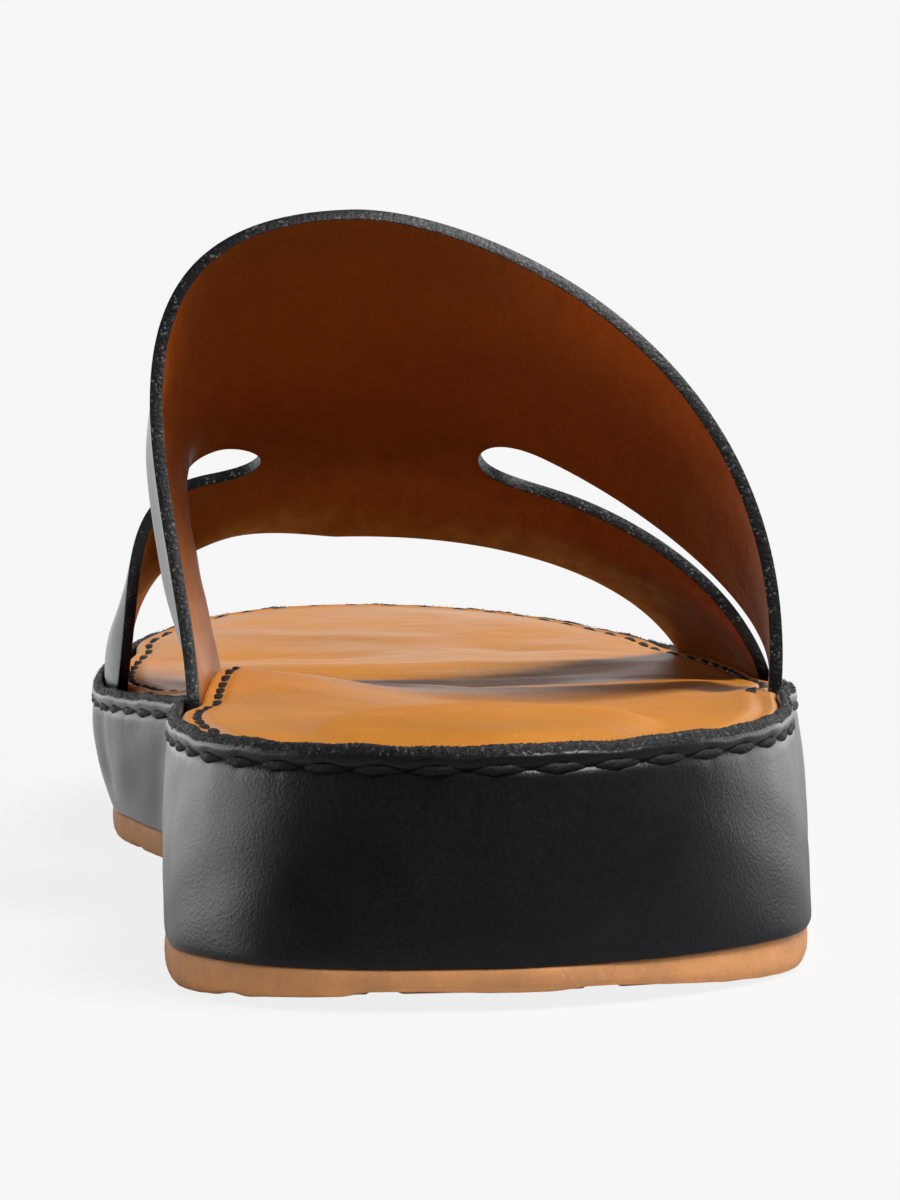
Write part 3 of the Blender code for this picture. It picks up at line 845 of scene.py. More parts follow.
def edge_paint(colour):
    """Painted cut edge: black and a little rough, with fine bright specks that are painted highlights."""
    finish = Finish("edge_paint")
    specks = finish.cells(0.00055, "F1")
    fine = finish.noise(0.00035, 3.0)
    patches = finish.between(finish.noise(0.0016, 2.0), 0.42, 0.60)
    # Painted highlight: grey specks in the colour stand for glints of light on the edge
    painted_glint = patches * finish.between(specks, 0.42, 0.18) * 0.4
    return finish.set(
        base_color=finish.blend(painted_glint, rgba(colour, 0.7), (0.26, 0.26, 0.27, 1.0)),
        roughness=finish.between(fine, 0.3, 0.7, 0.34, 0.5),
        normal=finish.bump(fine + 0.6 * specks, 0.00012, 0.5),
        specular_ior_level=0.35,
    )


def lining_leather(colour):
    """Smooth tan lining with painted light and shade: paler towards its edges and on the inner strap, darker
    over the crown; soft wrinkles and fine pores.
    """
    finish = Finish("lining_leather")
    cloud = finish.noise(0.022, 4.0, 0.6)
    streak = finish.noise(0.0026, 4.0, at=finish.stretched((1.0, 0.28, 0.4)))
    pores = finish.cells(0.0005)
    arch, place = finish.attribute("arch"), finish.attribute("place")
    # Painted light: the inner strap where the light falls on it, the sides near the rear edge and the front are
    # paler; painted shade: the crown is darker
    lit_inner_strap = finish.between(arch, -0.62, -0.9) * finish.between(place, 0.5, 0.7)
    rear = finish.between(place, 0.72, 1.0) * finish.between(arch * arch, 0.01, 0.3)
    crown = finish.between(place, 0.78, 0.98) * finish.between(arch * arch, 0.16, 0.02)
    front = finish.between(place, 0.5, 0.25)
    shade = finish.blend(finish.between(cloud, 0.3, 0.72), rgba(colour, 0.85), rgba(colour, 1.1))
    # Gains of the painted light (1.9, 1.7 and the inner strap's paler orange) and of the painted shade (0.55)
    for share, tone in ((rear * 0.7, rgba(colour, 1.9)), (crown * 0.5, rgba(colour, 0.55)),
                        (front * 0.6, rgba(colour, 1.7)), (lit_inner_strap * 0.8, rgba((0.50, 0.20, 0.065)))):
        shade = finish.blend(share, shade, tone)
    return finish.set(
        base_color=finish.blend(finish.between(streak, 0.55, 0.75) * 0.25, shade, rgba(colour, 0.72)),
        roughness=finish.between(streak, 0.3, 0.7, 0.46, 0.60),
        normal=finish.bump(pores, 0.00008, 0.6, finish.bump(streak, 0.0006, 0.5)),
        specular_ior_level=0.25,
    )


def footbed_leather(colour):
    """Padded tan leather: cloudy dye, fine grain, soft short wrinkles."""
    finish = Finish("footbed_leather")
    cloud = finish.noise(0.030, 4.0)
    wrinkle = finish.noise(0.0028, 3.0, at=finish.stretched((0.42, 1.0, 1.0)))
    pores = finish.cells(0.00055)
    specks = finish.between(finish.noise(0.0007, 1.0), 0.70, 0.76)
    shade = finish.cloudy(cloud, colour, 0.88, 1.08)
    return finish.set(
        base_color=finish.blend(specks * 0.3, shade, rgba((0.75, 0.50, 0.26))),
        roughness=finish.between(cloud, 0.3, 0.7, 0.42, 0.55),
        normal=finish.bump(pores, 0.00007, 0.5, finish.bump(wrinkle, 0.0005, 0.3)),
        specular_ior_level=0.22,
    )


def gum_rubber(colour):
    """Matte crepe-like gum: mottled, with darker and paler specks and a scuffed skin."""
    finish = Finish("gum_rubber")
    cloud = finish.noise(0.006, 5.0, 0.6)
    specks = finish.between(finish.noise(0.0007, 2.0), 0.62, 0.70)
    pale = finish.between(finish.noise(0.0011, 2.0), 0.64, 0.74)
    skin = finish.noise(0.0009, 4.0, 0.6)
    shade = finish.cloudy(cloud, colour, 0.90, 1.12)
    shade = finish.blend(specks * 0.20, shade, rgba(colour, 0.55))
    return finish.set(
        base_color=finish.blend(pale * 0.35, shade, rgba((0.72, 0.48, 0.27))),
        roughness=finish.between(cloud, 0.3, 0.7, 0.58, 0.75),
        normal=finish.bump(skin, 0.00025, 0.5),
        specular_ior_level=0.35,
    )


def raw_edge(name, colour):
    """Raw cut edge of the rim: dark fibres with grey and pale fluff."""
    finish = Finish(name)
    fibre = finish.noise(0.00045, 4.0, 0.7, at=finish.stretched((1.0, 1.0, 0.5)))
    fluff = finish.between(finish.noise(0.0005, 3.0, 0.7), 0.56, 0.70)
    return finish.set(
        base_color=finish.blend(fluff * 0.6, rgba(colour, 1.1), rgba((0.24, 0.23, 0.22))),
        roughness=0.6,
        normal=finish.bump(fibre, 0.0003, 0.7),
        specular_ior_level=0.36,
    )


def thread(colour):
    """Waxed black thread."""
    finish = Finish("waxed_thread")
    fibre = finish.noise(0.0004, 3.0, 0.6)
    return finish.set(
        base_color=finish.blend(finish.between(fibre, 0.60, 0.78), rgba(colour), rgba(colour, 3.0)),
        roughness=finish.between(fibre, 0.3, 0.7, 0.52, 0.75),
        normal=finish.bump(fibre, 0.0002, 0.8),
        specular_ior_level=0.3,
    )


def dress(piece, *materials):
    piece.data.materials.clear()
    for material in materials:
        piece.data.materials.append(material)


# Properties
def length(name, description, default, low, high):
    return FloatProperty(
        name=name, description=description, default=default, min=low, max=high, unit="LENGTH")


def colour(name, description, default):
    return FloatVectorProperty(
        name=name, description=description, default=default, size=3, min=0.0, max=1.0, subtype="COLOR")


def power(name, description, default):
    return FloatProperty(name=name, description=description, default=default, min=0.0, unit="POWER")


class SandalSizes(PropertyGroup):
    stitch_pitch: length("Stitch pitch", "Distance from one stitch to the next", 0.0068, 0.003, 0.012)
    thread_width: length("Thread width", "Width of the sewing thread", 0.0011, 0.0004, 0.002)
    fray_length: length("Fray length", "Length of the fibres on the rim's raw edge", 0.00045, 0.0, 0.002)
    fray_count: IntProperty(
        name="Fray fibres", description="Number of fibres on the rim's raw edge", default=5200, min=0, max=9000)
    grain: length("Grain", "Size of the black leather's pebbles", 0.00035, 0.0002, 0.002)
    footbed_fill: FloatProperty(
        name="Footbed fill", description="How tightly the footbed is padded", default=0.7,
        min=0.0, max=1.0, subtype="FACTOR")


class SandalColours(PropertyGroup):
    wrap: colour("Wrap", "Black leather of the platform and rim", (0.0075, 0.0075, 0.0095))
    band: colour("Band", "Black leather of the instep band", (0.008, 0.008, 0.0098))
    lining: colour("Lining", "Tan lining of the band", (0.200, 0.047, 0.0030))
    footbed: colour("Footbed", "Tan leather of the footbed", (0.54, 0.202, 0.024))
    rubber: colour("Rubber", "Gum rubber of the outsole", (0.63, 0.285, 0.110))
    thread: colour("Thread", "Waxed thread", (0.010, 0.009, 0.009))


class SandalStudio(PropertyGroup):
    overhead: power("Overhead light", "Power of the soft light above the heel", 14.2)
    sides: power("Side lights", "Power of each soft light at the sides", 1.5)
    backdrop: FloatProperty(
        name="Backdrop", description="Brightness of the pale surroundings", default=0.926, min=0.0, max=2.0)


# Operators
class SANDAL_OT_outsole(Operator):
    """Gum-rubber outsole with a rounded edge and wavy lugs"""
    bl_idname = "sandal.outsole"
    bl_label = "Outsole"

    def execute(self, context):
        angle = turns(WRAP_POINTS)
        foot = flare(angle, 0.0) - OUTER_STEP * ease(*OUTER_STEP_START, angle) * ease(*OUTER_STEP_END, angle)
        rings = []
        for offset, level, cut in OUTSOLE_SECTION:
            flat = loop(foot + offset, angle)
            low, high = tread_face(flat[:, 1]), joint(flat[:, 1])
            uneven = OUTSOLE_RIPPLE * ripple(flat[:, 0], flat[:, 1], OUTSOLE_RIPPLE_SIZE, 5) * (1 - level)
            rings.append(lifted(flat, low + (high - low) * level + edge_wave(flat) * cut + uneven))
        grids = [lay_grid("outsole_wall", closed(rings)), self.tread(rings[-1]),
                 lay_grid("outsole_top", across(rings[0], 2))]
        piece = sew("gum_outsole", grids)
        dress(piece, gum_rubber(context.scene.sandal_colours.rubber))
        settle(piece, "outsole")
        return {"FINISHED"}

    @staticmethod
    def tread(ring):
        """Underside within the wall's lowest ring, with grooves that begin a little way in."""
        flat = across(ring[:, :2], SOLE_ACROSS)
        edge = across(ring[:, 2:], SOLE_ACROSS)[..., 0]
        face = tread_face(flat[..., 1])
        margin = TREAD_MARGIN + HEEL_MARGIN * (1 - ease(*HEEL_MARGIN_FADE, flat[..., 1]))
        inside = ease(0.0, 1.0, edge_distance(flat, ring[:, :2]) / margin)
        under = face + groove_depth(flat[..., 0], flat[..., 1])
        height = under * inside + (1 - inside) * (face + edge_wave(flat))
        border = np.ones(flat.shape[:2], bool)
        border[1:-1, 1:-1] = False
        return lay_grid("outsole_tread", lifted(flat, np.where(border, edge, height)))


class SANDAL_OT_wrap(Operator):
    """Black leather wrapped round the platform, drawn in under the seam"""
    bl_idname = "sandal.wrap"
    bl_label = "Platform wrap"

    SHINE = 0.30

    def execute(self, context):
        sizes = context.scene.sandal_sizes
        angle = turns(RIM_POINTS)
        pinch = stitch_pinch(stitch_phase(angle, sizes.stitch_pitch / MM), WRAP_PINCH_SHARPNESS)
        rings = []
        for level in WRAP_LEVELS:
            stand = flare(angle, level) + WALL_BELLY * 4 * level * (1 - level)
            plain = loop(stand, angle)
            bottom = joint(plain[:, 1])
            top = rim_top(plain[:, 1]) - SEAM_DROP - SEAM_PLAY
            height = bottom + (top - bottom) * level
            from_top, from_bottom = top - height, height - bottom
            rise, place, half_width = SEAM_ROLL
            draw = rise * bell(from_top, place, half_width) - pinch * decay(*STITCH_PULL, from_top)
            draw = draw - decay(*FOOT_TUCK, from_bottom) - decay(*SEAM_TUCK, from_top)
            soft = ripple(plain[:, 0], plain[:, 1] + WRAP_RIPPLE_LEAN * height, WRAP_RIPPLE_SIZE, 2)
            soft = WRAP_RIPPLE * soft * ease(*WRAP_RIPPLE_FADE, from_top)
            flat = loop(stand + draw + soft + self.dent(plain, height), angle)
            rings.append(lifted(flat, height - pinch * decay(*STITCH_DIP, from_top)))
        lid = lifted(loop(-WRAP_TURN_IN, angle), rings[-1][:, 2] - WRAP_LID_DROP)
        base = lifted(loop(flare(angle, 0.0) - WRAP_TURN_IN, angle), rings[0][:, 2])
        grids = [lay_grid("wrap_wall", closed([base] + rings + [lid])),
                 lay_grid("wrap_lid", across(lid, 2)), lay_grid("wrap_base", across(base, 2))]
        piece = sew("platform_wrap", grids)
        dress(piece, black_leather("wrap_leather", context.scene.sandal_colours.wrap, sizes.grain, self.SHINE))
        settle(piece, "midsole")
        return {"FINISHED"}

    @staticmethod
    def dent(flat, height):
        """Upright creases at the inner side of the forefoot, with a puff between them."""
        total = 0.0
        for depth, y, lean, half_width in DENTS:
            total = total + depth * bell(flat[:, 1], y + lean * height, half_width)
        return np.where(flat[:, 0] < 0, total * ease(*DENT_FADE, height), 0.0)


class SANDAL_OT_rim(Operator):
    """Rim round the footbed: a smooth band below and a raw cut edge above"""
    bl_idname = "sandal.rim"
    bl_label = "Rim"

    SHINE = 0.32
    RAW_SHARE = 0.6
    # Drops over which the thread pulls the leather in, the cut edge and its finish begin, and the rim sways
    PULLED, CUT, CUT_FINISH, SWAYING = (-1.3, -2.3), (-1.15, -0.95), (-1.1, -0.9), (-2.4, -1.2)
    # How far in the cut edge is rough and has its finish, and how rough it is upwards and outwards
    ROUGH_TO, CUT_FINISH_TO, ROUGH_UP, ROUGH_OUT = -1.3, -1.39, 0.05, 0.045
    # Fibres: depth and bend of their roots over the edge, how far they lean out, aside and up, and their
    # share of the full length and thickness
    ROOT_IN, ROOT_SPAN, ROOT_BEND, ROOT_LOW = 0.06, 0.5, 1.5, 0.03
    LEAN_OUT, LEAN_ASIDE, LEAN_UP, TOP_LEAN, TOP_EDGE = (0.1, 0.7), 0.6, (-0.2, 0.8), 0.7, (-0.35, 0.0)
    FIBRE_SHARE, FIBRE_WIDTH = (0.35, 1.0), (0.03, 0.075)

    def execute(self, context):
        sizes, colours = context.scene.sandal_sizes, context.scene.sandal_colours
        angle = turns(RIM_POINTS)
        phase = stitch_phase(angle, sizes.stitch_pitch / MM)
        pinch = RIM_PINCH * stitch_pinch(phase, RIM_PINCH_SHARPNESS)
        sway = sum(size * np.sin(phase * 2 * math.pi * rate + start) for size, rate, start in RIM_SWAY)
        rng = np.random.default_rng(11)
        rings = []
        for offset, drop in RIM_SECTION:
            flat = loop(offset - pinch * ease(*self.PULLED, drop), angle)
            raw = ease(*self.CUT, drop) * (offset > self.ROUGH_TO)
            frayed = rng.normal(0.0, self.ROUGH_UP, RIM_POINTS) * raw
            height = rim_top(flat[:, 1]) + drop + frayed + sway * ease(*self.SWAYING, drop)
            flat = flat + outward(angle) * (rng.normal(0.0, self.ROUGH_OUT, RIM_POINTS) * raw)[:, None]
            rings.append(lifted(flat, height))
        raw = [ease(*self.CUT_FINISH, drop) * (offset > self.CUT_FINISH_TO) for offset, drop in RIM_SECTION]
        ring = lay_grid("rim_ring", closed(rings + rings[:1]), raw=np.array(raw + [0.0])[:, None])
        piece = sew("leather_rim", [ring])
        dress(piece, black_leather("rim_leather", colours.wrap, sizes.grain, self.SHINE),
              raw_edge("raw_edge", colours.wrap))
        raw = kept_values(piece.data, "raw")
        for face in piece.data.polygons:
            if raw[list(face.vertices)].mean() > self.RAW_SHARE:
                face.material_index = 1
        settle(piece, "rim")
        self.fray(sizes, colours)
        return {"FINISHED"}

    def fray(self, sizes, colours):
        """Short fibres that stand out of the raw edge, each a thin spike with three sides."""
        rng = np.random.default_rng(23)
        fine = turns(FINE_POINTS)
        along, whole = run_length(loop(0.0, fine))
        up = np.array([0.0, 0.0, 1.0])
        verts, faces = [], []
        for _ in range(sizes.fray_count):
            angle = np.array([np.interp(rng.uniform(0, whole), along, fine)])
            level = rng.uniform(-1.0, 0.0)
            inset = self.ROOT_IN + self.ROOT_SPAN * (level + 1.0) ** self.ROOT_BEND
            root = np.append(loop(-inset, angle)[0], 0.0)
            root[2] = rim_top(root[1]) + level - self.ROOT_LOW
            out = np.append(outward(angle)[0], 0.0)
            along_rim = np.array([-out[1], out[0], 0.0])
            way = out * rng.uniform(*self.LEAN_OUT) + along_rim * rng.normal(0, self.LEAN_ASIDE)
            way = way + up * (rng.uniform(*self.LEAN_UP) + self.TOP_LEAN * ease(*self.TOP_EDGE, level))
            way /= np.linalg.norm(way)
            tip = root + way * sizes.fray_length / MM * rng.uniform(*self.FIBRE_SHARE)
            thick = rng.uniform(*self.FIBRE_WIDTH)
            behind = root - along_rim * thick * 0.5
            start = len(verts)
            verts.extend([root + along_rim * thick, behind + out * thick, behind - up * thick, tip])
            for face in ((0, 1, 3), (1, 2, 3), (2, 0, 3), (0, 2, 1)):
                faces.append(tuple(start + k for k in face))
        piece = from_faces("rim_fray", np.array(verts), faces)
        dress(piece, raw_edge("fray_fibres", colours.wrap))
        settle(piece)


class SANDAL_OT_footbed(Operator):
    """Padded footbed with its arch and heel pads, sewn lip and soft creases"""
    bl_idname = "sandal.footbed"
    bl_label = "Footbed"

    ROUND_STEPS = 7

    def execute(self, context):
        angle = turns(WRAP_POINTS)
        inset = footbed_inset(angle)
        under = lifted(loop(-inset, angle), 0.0)
        under[:, 2] = rim_top(under[:, 1]) - RIM_HEIGHT
        rings = [under]
        for lean in np.linspace(0.0, math.pi / 2, self.ROUND_STEPS):
            flat = loop(-inset - FOOTBED_ROUND * (1 - math.cos(lean)), angle)
            top = footbed_height(flat[:, 0], flat[:, 1], np.zeros(len(flat)))
            rings.append(lifted(flat, top - FOOTBED_ROUND * (1 - math.sin(lean))))
        flat = across(rings[-1][:, :2], PAD_ACROSS)
        from_edge = edge_distance(flat, loop(-inset - FOOTBED_ROUND, angle))
        height = footbed_height(flat[..., 0], flat[..., 1], from_edge)
        grids = [lay_grid("footbed_wall", closed(rings)), lay_grid("footbed_top", lifted(flat, height)),
                 lay_grid("footbed_under", across(under, 2))]
        piece = sew("padded_footbed", grids)
        dress(piece, footbed_leather(context.scene.sandal_colours.footbed))
        settle(piece, "footbed")
        return {"FINISHED"}


class SANDAL_OT_band(Operator):
    """Instep band: black leather outside, tan lining inside, painted edges and two slots"""
    bl_idname = "sandal.band"
    bl_label = "Instep band"

    FRONT_STEPS, REAR_STEPS = 30, 40
    END_STEPS, STRAP_STEPS = 15, 46
    SHINE = 0.26
    CROWN = Vector((-0.008, -0.01))
    LINING, OUTSIDE, PAINT = 0, 1, 2
    BEVEL_STEPS, BEVEL_ANGLE, SMOOTH_ANGLE = 3, 50.0, 60.0
    # Ripples of the lining: height, waves over the arch, lean along the band, and the parts of the arch and
    # of the band where they show
    RIPPLES = (
        (0.16, 26, 6.0, (0.70, 0.80), (0.99, 0.95), (0.40, 0.25)),
        (0.10, 9, 9.0, (-0.35, -0.55), (-0.95, -0.8), (0.55, 0.75)),
    )
    BROAD_RIPPLE = 0.14
    EDGE_KEPT = 0.04

    def execute(self, context):
        piece = self.sheet()
        count = len(piece.data.polygons)
        sheet = self.centres(piece)
        colours = context.scene.sandal_colours
        dress(piece, lining_leather(colours.lining),
              black_leather("band_leather", colours.band, context.scene.sandal_sizes.grain, self.SHINE),
              edge_paint(colours.band))
        wall = UPPER_WALL * MM
        apply_modifier(piece, "SOLIDIFY", "wall", thickness=wall, offset=1.0, use_even_offset=True)
        centres = self.centres(piece)
        lining_first = np.linalg.norm(centres[:count] - sheet, axis=1).mean() < wall / 2
        index = np.full(len(centres), self.PAINT, np.int32)
        index[:count] = self.LINING if lining_first else self.OUTSIDE
        index[count:2 * count] = self.OUTSIDE if lining_first else self.LINING
        piece.data.polygons.foreach_set("material_index", index)
        apply_modifier(piece, "BEVEL", "soft_edge", width=BAND_BEVEL * MM, segments=self.BEVEL_STEPS,
                       limit_method="ANGLE", angle_limit=math.radians(self.BEVEL_ANGLE), material=self.PAINT)
        self.crease_lining(piece.data)
        choose(piece)
        bpy.ops.object.shade_smooth_by_angle(angle=math.radians(self.SMOOTH_ANGLE))
        settle(piece, "upper")
        return {"FINISHED"}

    def sheet(self):
        """Inner face of the band, whole over the crown and parted by the slots, facing away from the foot."""
        foot = RIM_HEIGHT - GAP
        stations = [(-1, 1.0, foot)] + [(-1, down, 0.0) for down in self.steps(-1)[::-1]] + [(1, 0.0, 0.0)]
        stations += [(1, down, 0.0) for down in self.steps(1)] + [(1, 1.0, foot)]
        arch = np.array([side * down for side, down, _ in stations])[:, None]
        straps = {"band_front": ([], []), "band_rear": ([], [])}
        for side, down, sunk in stations:
            front_edge, rear_edge = slot_edges(side, down)
            spans = (np.linspace(0.0, front_edge, self.FRONT_STEPS + 1),
                     np.linspace(rear_edge, 1.0, self.REAR_STEPS + 1))
            for span, (points, places) in zip(spans, straps.values()):
                points.append(band_point(side, down, span) - np.array([0.0, 0.0, sunk]))
                places.append(span)
        piece = sew("instep_band", [lay_grid(name, np.array(points), arch=arch, place=np.array(places))
                                    for name, (points, places) in straps.items()])
        crown = min(piece.data.polygons, key=lambda face: (face.center.xy - self.CROWN).length)
        if crown.normal.z < 0:
            in_edit_mode(piece, FLIPPED)
        return piece

    @classmethod
    def steps(cls, side):
        """Steps down one side of the arch, closer together round the slot's end."""
        end = SLOTS[side]["end"]
        whole = list(np.linspace(0.0, end, cls.END_STEPS)[1:])
        lean = np.linspace(0, math.pi / 2, cls.END_STEPS)[1:]
        turn = [end + (1 - end) * SLOT_END_ROUND * (1 - math.cos(a)) for a in lean]
        return whole + turn + list(np.linspace(turn[-1], 1.0, cls.STRAP_STEPS)[1:])

    @staticmethod
    def centres(piece):
        return np.array([tuple(face.center) for face in piece.data.polygons])

    @classmethod
    def crease_lining(cls, mesh):
        """Soft ripples in the lining near the strap feet and over the instep."""
        arch, place = kept_values(mesh, "arch"), kept_values(mesh, "place")
        lining = np.ones(len(arch), bool)
        for face in mesh.polygons:
            if face.material_index != cls.LINING:
                lining[list(face.vertices)] = False
        ripples = 0.0
        for height, waves, lean, start, end, span in cls.RIPPLES:
            share = ease(*start, arch) * ease(*end, arch) * ease(*span, place)
            ripples = ripples + height * np.sin(arch * 2 * math.pi * waves + lean * place) * share
        broad = cls.BROAD_RIPPLE * np.sin(place * 17.0 + 3.0 * arch) * np.sin(arch * 9.0 + 1.0)
        wrinkles = crease_field(arch * LINING_ACROSS, place * LINING_ALONG, LINING_CREASES)
        away = np.minimum(ease(0.0, cls.EDGE_KEPT, place), ease(1.0, 1.0 - cls.EDGE_KEPT, place))
        move = (ripples + broad + wrinkles) * away * lining * MM
        normals, places = np.zeros(len(arch) * 3, np.float32), np.zeros(len(arch) * 3, np.float32)
        mesh.vertex_normals.foreach_get("vector", normals)
        mesh.vertices.foreach_get("co", places)
        mesh.vertices.foreach_set("co", (places + normals * np.repeat(move, 3)).astype(np.float32))
        mesh.update()


class SANDAL_OT_stitches(Operator):
    """Waxed thread of the rim's seam and of the footbed's seam"""
    bl_idname = "sandal.stitches"
    bl_label = "Stitches"

    RIM_SHARE, FOOTBED_SHARE = 1.02, 0.88
    LOOSENESS, DIVE_BEND = (0.95, 1.03), 3.0
    # Rim's thread: how far in it lies and dives, its drop under the wrap's top, slant and upward lean
    RIM_IN, RIM_DIVE, RIM_LOW, RIM_SLANT, RIM_LEAN = 0.06, 0.62, 0.12, 0.10, 0.1
    # Footbed's thread: distance from the edge, how far it stands proud and dives
    FOOTBED_IN, FOOTBED_PROUD, FOOTBED_DIVE = 2.0, 0.22, 0.8

    def execute(self, context):
        self.seam(context, "rim_stitches", "rim_leather", 0.5, self.RIM_SHARE, self.rim_path)
        self.seam(context, "footbed_stitches", "footbed_leather", 0.0, self.FOOTBED_SHARE, self.footbed_path)
        return {"FINISHED"}

    @classmethod
    def rim_path(cls, angle, dive):
        """Seam under the rim: thread proud in the middle, sunk at both ends."""
        flat = loop(-cls.RIM_IN - cls.RIM_DIVE * dive, angle)
        slant = cls.RIM_SLANT * np.linspace(-1, 1, len(angle))
        height = rim_top(flat[:, 1]) - SEAM_DROP - cls.RIM_LOW + slant
        return lifted(flat, height), lifted(outward(angle), cls.RIM_LEAN)

    @classmethod
    def footbed_path(cls, angle, dive):
        """Seam along the footbed's lip, or nothing round the heel."""
        flat = loop(-footbed_inset(angle) - cls.FOOTBED_IN, angle)
        x, y = flat[STITCH_POINTS // 2]
        if y < SEAM_STARTS[1 if x > 0 else -1]:
            return None
        lip = footbed_height(flat[:, 0], flat[:, 1], np.full(len(flat), SEAM_GROOVE[1]))
        height = lip + cls.FOOTBED_PROUD - cls.FOOTBED_DIVE * dive
        return lifted(flat, height), np.tile([0.0, 0.0, 1.0], (len(angle), 1))

    @classmethod
    def seam(cls, context, name, slot, start, share, path):
        """Stitches round the sole, each a share of the pitch long."""
        sizes = context.scene.sandal_sizes
        fine = np.append(turns(FINE_POINTS), 2 * math.pi)
        phase = stitch_phase(fine, sizes.stitch_pitch / MM)
        count = round(phase[-1])
        rng = np.random.default_rng(5)
        along = np.linspace(-1, 1, STITCH_POINTS)
        stitches = []
        for k in range(count):
            half = share / 2 * rng.uniform(*cls.LOOSENESS)
            at = (k + 0.5 + start + half * along) % count
            stitches.append(path(np.interp(at, phase, fine), np.abs(along) ** cls.DIVE_BEND))
        paths, outs = zip(*[stitch for stitch in stitches if stitch])
        piece = strands(name, paths, sizes.thread_width / MM, outs)
        dress(piece, thread(context.scene.sandal_colours.thread))
        settle(piece)


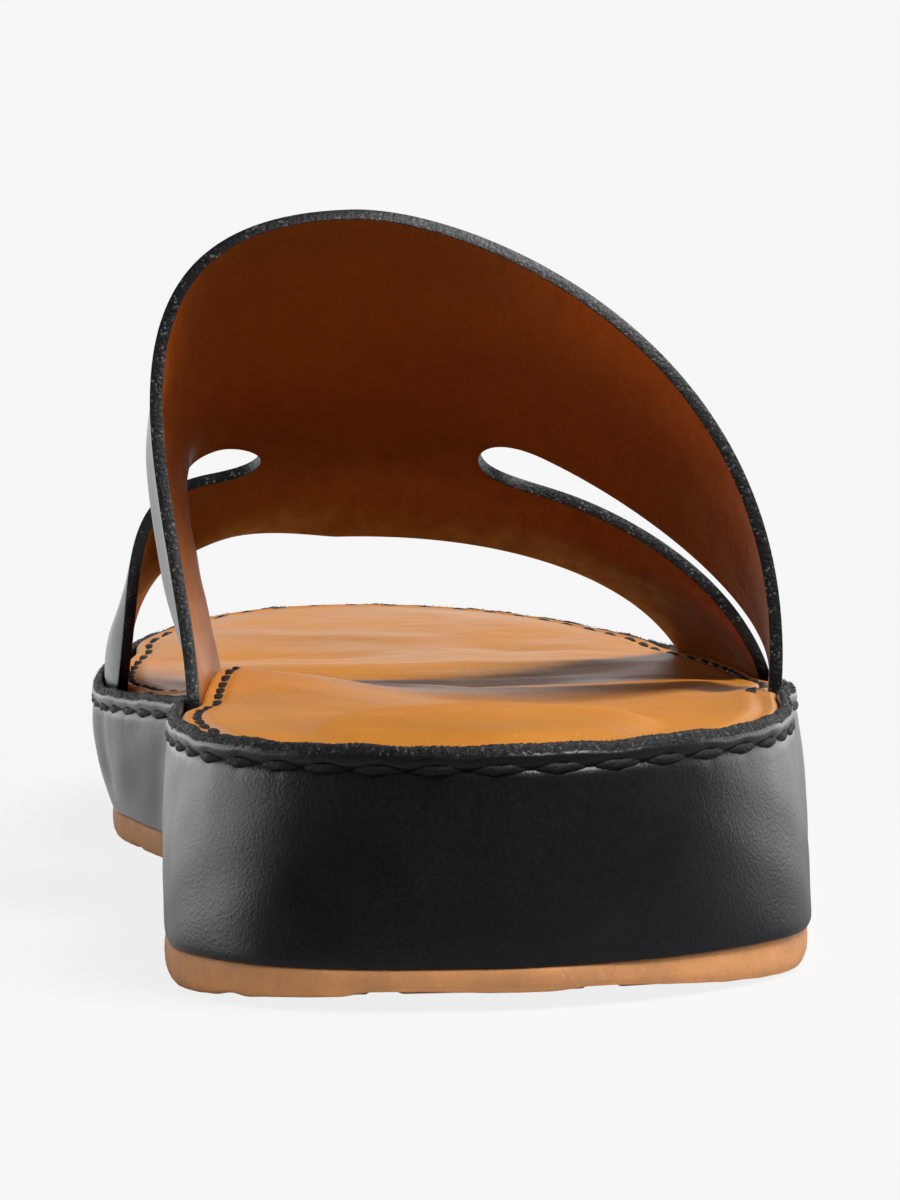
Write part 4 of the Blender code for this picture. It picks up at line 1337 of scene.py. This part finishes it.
class SANDAL_OT_stage(Operator):
    """Pale floor, soft studio light and the camera behind the heel"""
    bl_idname = "sandal.stage"
    bl_label = "Stage"

    # Soft lights: place, aim, width and height in metres
    LIGHTS = {
        "overhead": ((0.42, -0.32, 0.94), (0.0, 0.0, 0.0), 0.6, 0.6),
        "left": ((-0.95, 0.45, 0.30), (0.0, 0.0, 0.05), 0.7, 0.5),
        "right": ((0.95, 0.45, 0.30), (0.0, 0.0, 0.05), 0.7, 0.5),
    }
    # Floor: size and drop, greys of its chalk and of what it throws back, glow in dark reflections, and
    # how the chalk shows near the sandal
    FLOOR_RADIUS, FLOOR_DROP = 40.0, 0.0002
    CHALK, BOUNCE, DARK = 0.85, 0.75, 0.12
    CHALK_NEAR = (0.08, 0.36, 0.10, 0.0)
    MIRROR_TURN = (-0.25, 0.25)
    # Surroundings, from and to: mirrored light by direction ahead, cast light by direction aside, fade upwards
    MIRRORED, CAST, UPWARDS = (-0.1, 1.0, 0.018, 2.3), (0.1, 0.9, 1.1, 0.2), (0.25, 0.6, 1.0, 0.06)
    LIGHT_TONE = 0.8
    # Camera: turn, tilt and roll in degrees, the point it looks at, distance and lens
    TURN, TILT, ROLL = -2.159, 3.533, -1.370
    AIM, DISTANCE = (0.001472, 0.0003, 0.03524), 0.7251
    LENS, SENSOR, CLIP_END = 164.06, 36.0, 200.0

    def execute(self, context):
        studio = context.scene.sandal_studio
        self.floor(studio.backdrop)
        self.surroundings(context, studio.backdrop)
        for name, shape in self.LIGHTS.items():
            self.softbox(name, *shape, studio.overhead if name == "overhead" else studio.sides)
        self.camera(context)
        return {"FINISHED"}

    def floor(self, tone):
        """Pale floor that takes a faint shadow near the sandal and fades into the surroundings."""
        deselect()
        bpy.ops.mesh.primitive_circle_add(
            vertices=96, radius=self.FLOOR_RADIUS, fill_type="NGON", location=(0.0, 0.0, -self.FLOOR_DROP))
        floor = bpy.context.object
        floor.name = "floor"
        bpy.ops.object.transform_apply(location=True, rotation=True, scale=True)
        finish = Finish("pale_floor")
        finish.tree.nodes.remove(finish.shader)
        glow, dark = finish.glow("Emission", tone, 1.0), finish.glow("Emission", tone, self.DARK)
        chalk, bounce = (finish.node("ShaderNodeBsdfDiffuse", {}, {"Color": grey(shade)})
                         for shade in (self.CHALK, self.BOUNCE))
        reach = finish.node("ShaderNodeVectorMath", {"operation": "LENGTH"}, {0: finish.place()}, "Value")
        seen = finish.either(finish.between(reach, *self.CHALK_NEAR), glow, chalk)
        ahead = finish.between(finish.along("Y", finish.place()), *self.MIRROR_TURN)
        bounced = finish.either(finish.ray("Glossy"), bounce, finish.either(ahead, dark, glow))
        both = finish.either(finish.ray("Camera"), bounced, seen)
        finish.feed(finish.tree.nodes["Material Output"].inputs["Surface"], both)
        floor.data.materials.append(finish.material)

    def surroundings(self, context, tone):
        """Pale surroundings, bright beyond the toe and dark behind the camera for what the leather mirrors."""
        world = bpy.data.worlds.new("studio")
        world.use_nodes = True
        context.scene.world = world
        nodes = Nodes(world.node_tree)
        nodes.tree.nodes.remove(nodes.tree.nodes["Background"])
        direction = nodes.node("ShaderNodeTexCoord", {}, {}, "Generated")
        ahead = nodes.along("Y", direction)
        low = nodes.between(nodes.along("Z", direction), *self.UPWARDS)
        mirrored = nodes.between(ahead, *self.MIRRORED) * low
        cast = low * nodes.between(abs(ahead), *self.CAST)
        strength = nodes.node("ShaderNodeMix", {}, {0: nodes.ray("Glossy"), 2: cast, 3: mirrored})
        light = nodes.glow("Background", self.LIGHT_TONE, strength)
        both = nodes.either(nodes.ray("Camera"), light, nodes.glow("Background", tone, 1.0))
        nodes.feed(nodes.tree.nodes["World Output"].inputs["Surface"], both)
        context.scene.view_settings.view_transform = "Standard"

    @staticmethod
    def softbox(name, place, aim, width, height, power):
        light = bpy.data.lights.new(name, "AREA")
        light.shape = "RECTANGLE"
        light.size, light.size_y = width, height
        light.energy = power
        lamp = bpy.data.objects.new(name, light)
        lamp.location = place
        lamp.rotation_euler = (Vector(aim) - Vector(place)).to_track_quat("-Z", "Y").to_euler()
        bpy.context.collection.objects.link(lamp)

    def camera(self, context):
        """Behind the heel, a hand above the floor, as the sandal was seen."""
        turn, tilt, roll = (math.radians(angle) for angle in (self.TURN, self.TILT, self.ROLL))
        back = Vector((math.sin(turn) * math.cos(tilt), -math.cos(turn) * math.cos(tilt), math.sin(tilt)))
        right = Vector((math.cos(turn), math.sin(turn), 0.0))
        up = back.cross(right)
        across_view = right * math.cos(roll) + up * math.sin(roll)
        up_view = up * math.cos(roll) - right * math.sin(roll)
        lens = bpy.data.cameras.new("camera")
        lens.sensor_width, lens.lens, lens.clip_end = self.SENSOR, self.LENS, self.CLIP_END
        camera = bpy.data.objects.new("camera", lens)
        place = Matrix((across_view, up_view, back)).transposed().to_4x4()
        place.translation = Vector(self.AIM) + back * self.DISTANCE
        camera.matrix_world = place
        context.collection.objects.link(camera)
        context.scene.camera = camera


class SANDAL_PT_pieces(Panel):
    """Sizes, colours and pieces of the sandal"""
    bl_idname = "SANDAL_PT_pieces"
    bl_label = "Sandal"
    bl_space_type = "VIEW_3D"
    bl_region_type = "UI"
    bl_category = "Sandal"

    def draw(self, context):
        for group in (context.scene.sandal_sizes, context.scene.sandal_colours, context.scene.sandal_studio):
            box = self.layout.box()
            for key in group.bl_rna.properties.keys():
                if key not in ("rna_type", "name"):
                    box.prop(group, key)
        for operator in OPERATORS:
            self.layout.operator(operator.bl_idname)


OPERATORS = (SANDAL_OT_stage, SANDAL_OT_outsole, SANDAL_OT_wrap, SANDAL_OT_rim, SANDAL_OT_footbed,
             SANDAL_OT_band, SANDAL_OT_stitches)
GROUPS = {"sandal_sizes": SandalSizes, "sandal_colours": SandalColours, "sandal_studio": SandalStudio}


def register():
    for kind in (*GROUPS.values(), *OPERATORS, SANDAL_PT_pieces):
        bpy.utils.register_class(kind)
    for name, kind in GROUPS.items():
        setattr(bpy.types.Scene, name, PointerProperty(type=kind))


def unregister():
    for name in GROUPS:
        delattr(bpy.types.Scene, name)
    for kind in (SANDAL_PT_pieces, *reversed(OPERATORS), *reversed(GROUPS.values())):
        bpy.utils.unregister_class(kind)


def main():
    register()
    bpy.ops.sandal.stage()
    bpy.ops.sandal.outsole()
    bpy.ops.sandal.wrap()
    bpy.ops.sandal.rim()
    bpy.ops.sandal.footbed()
    bpy.ops.sandal.band()
    bpy.ops.sandal.stitches()


if __name__ == "__main__":
    main()
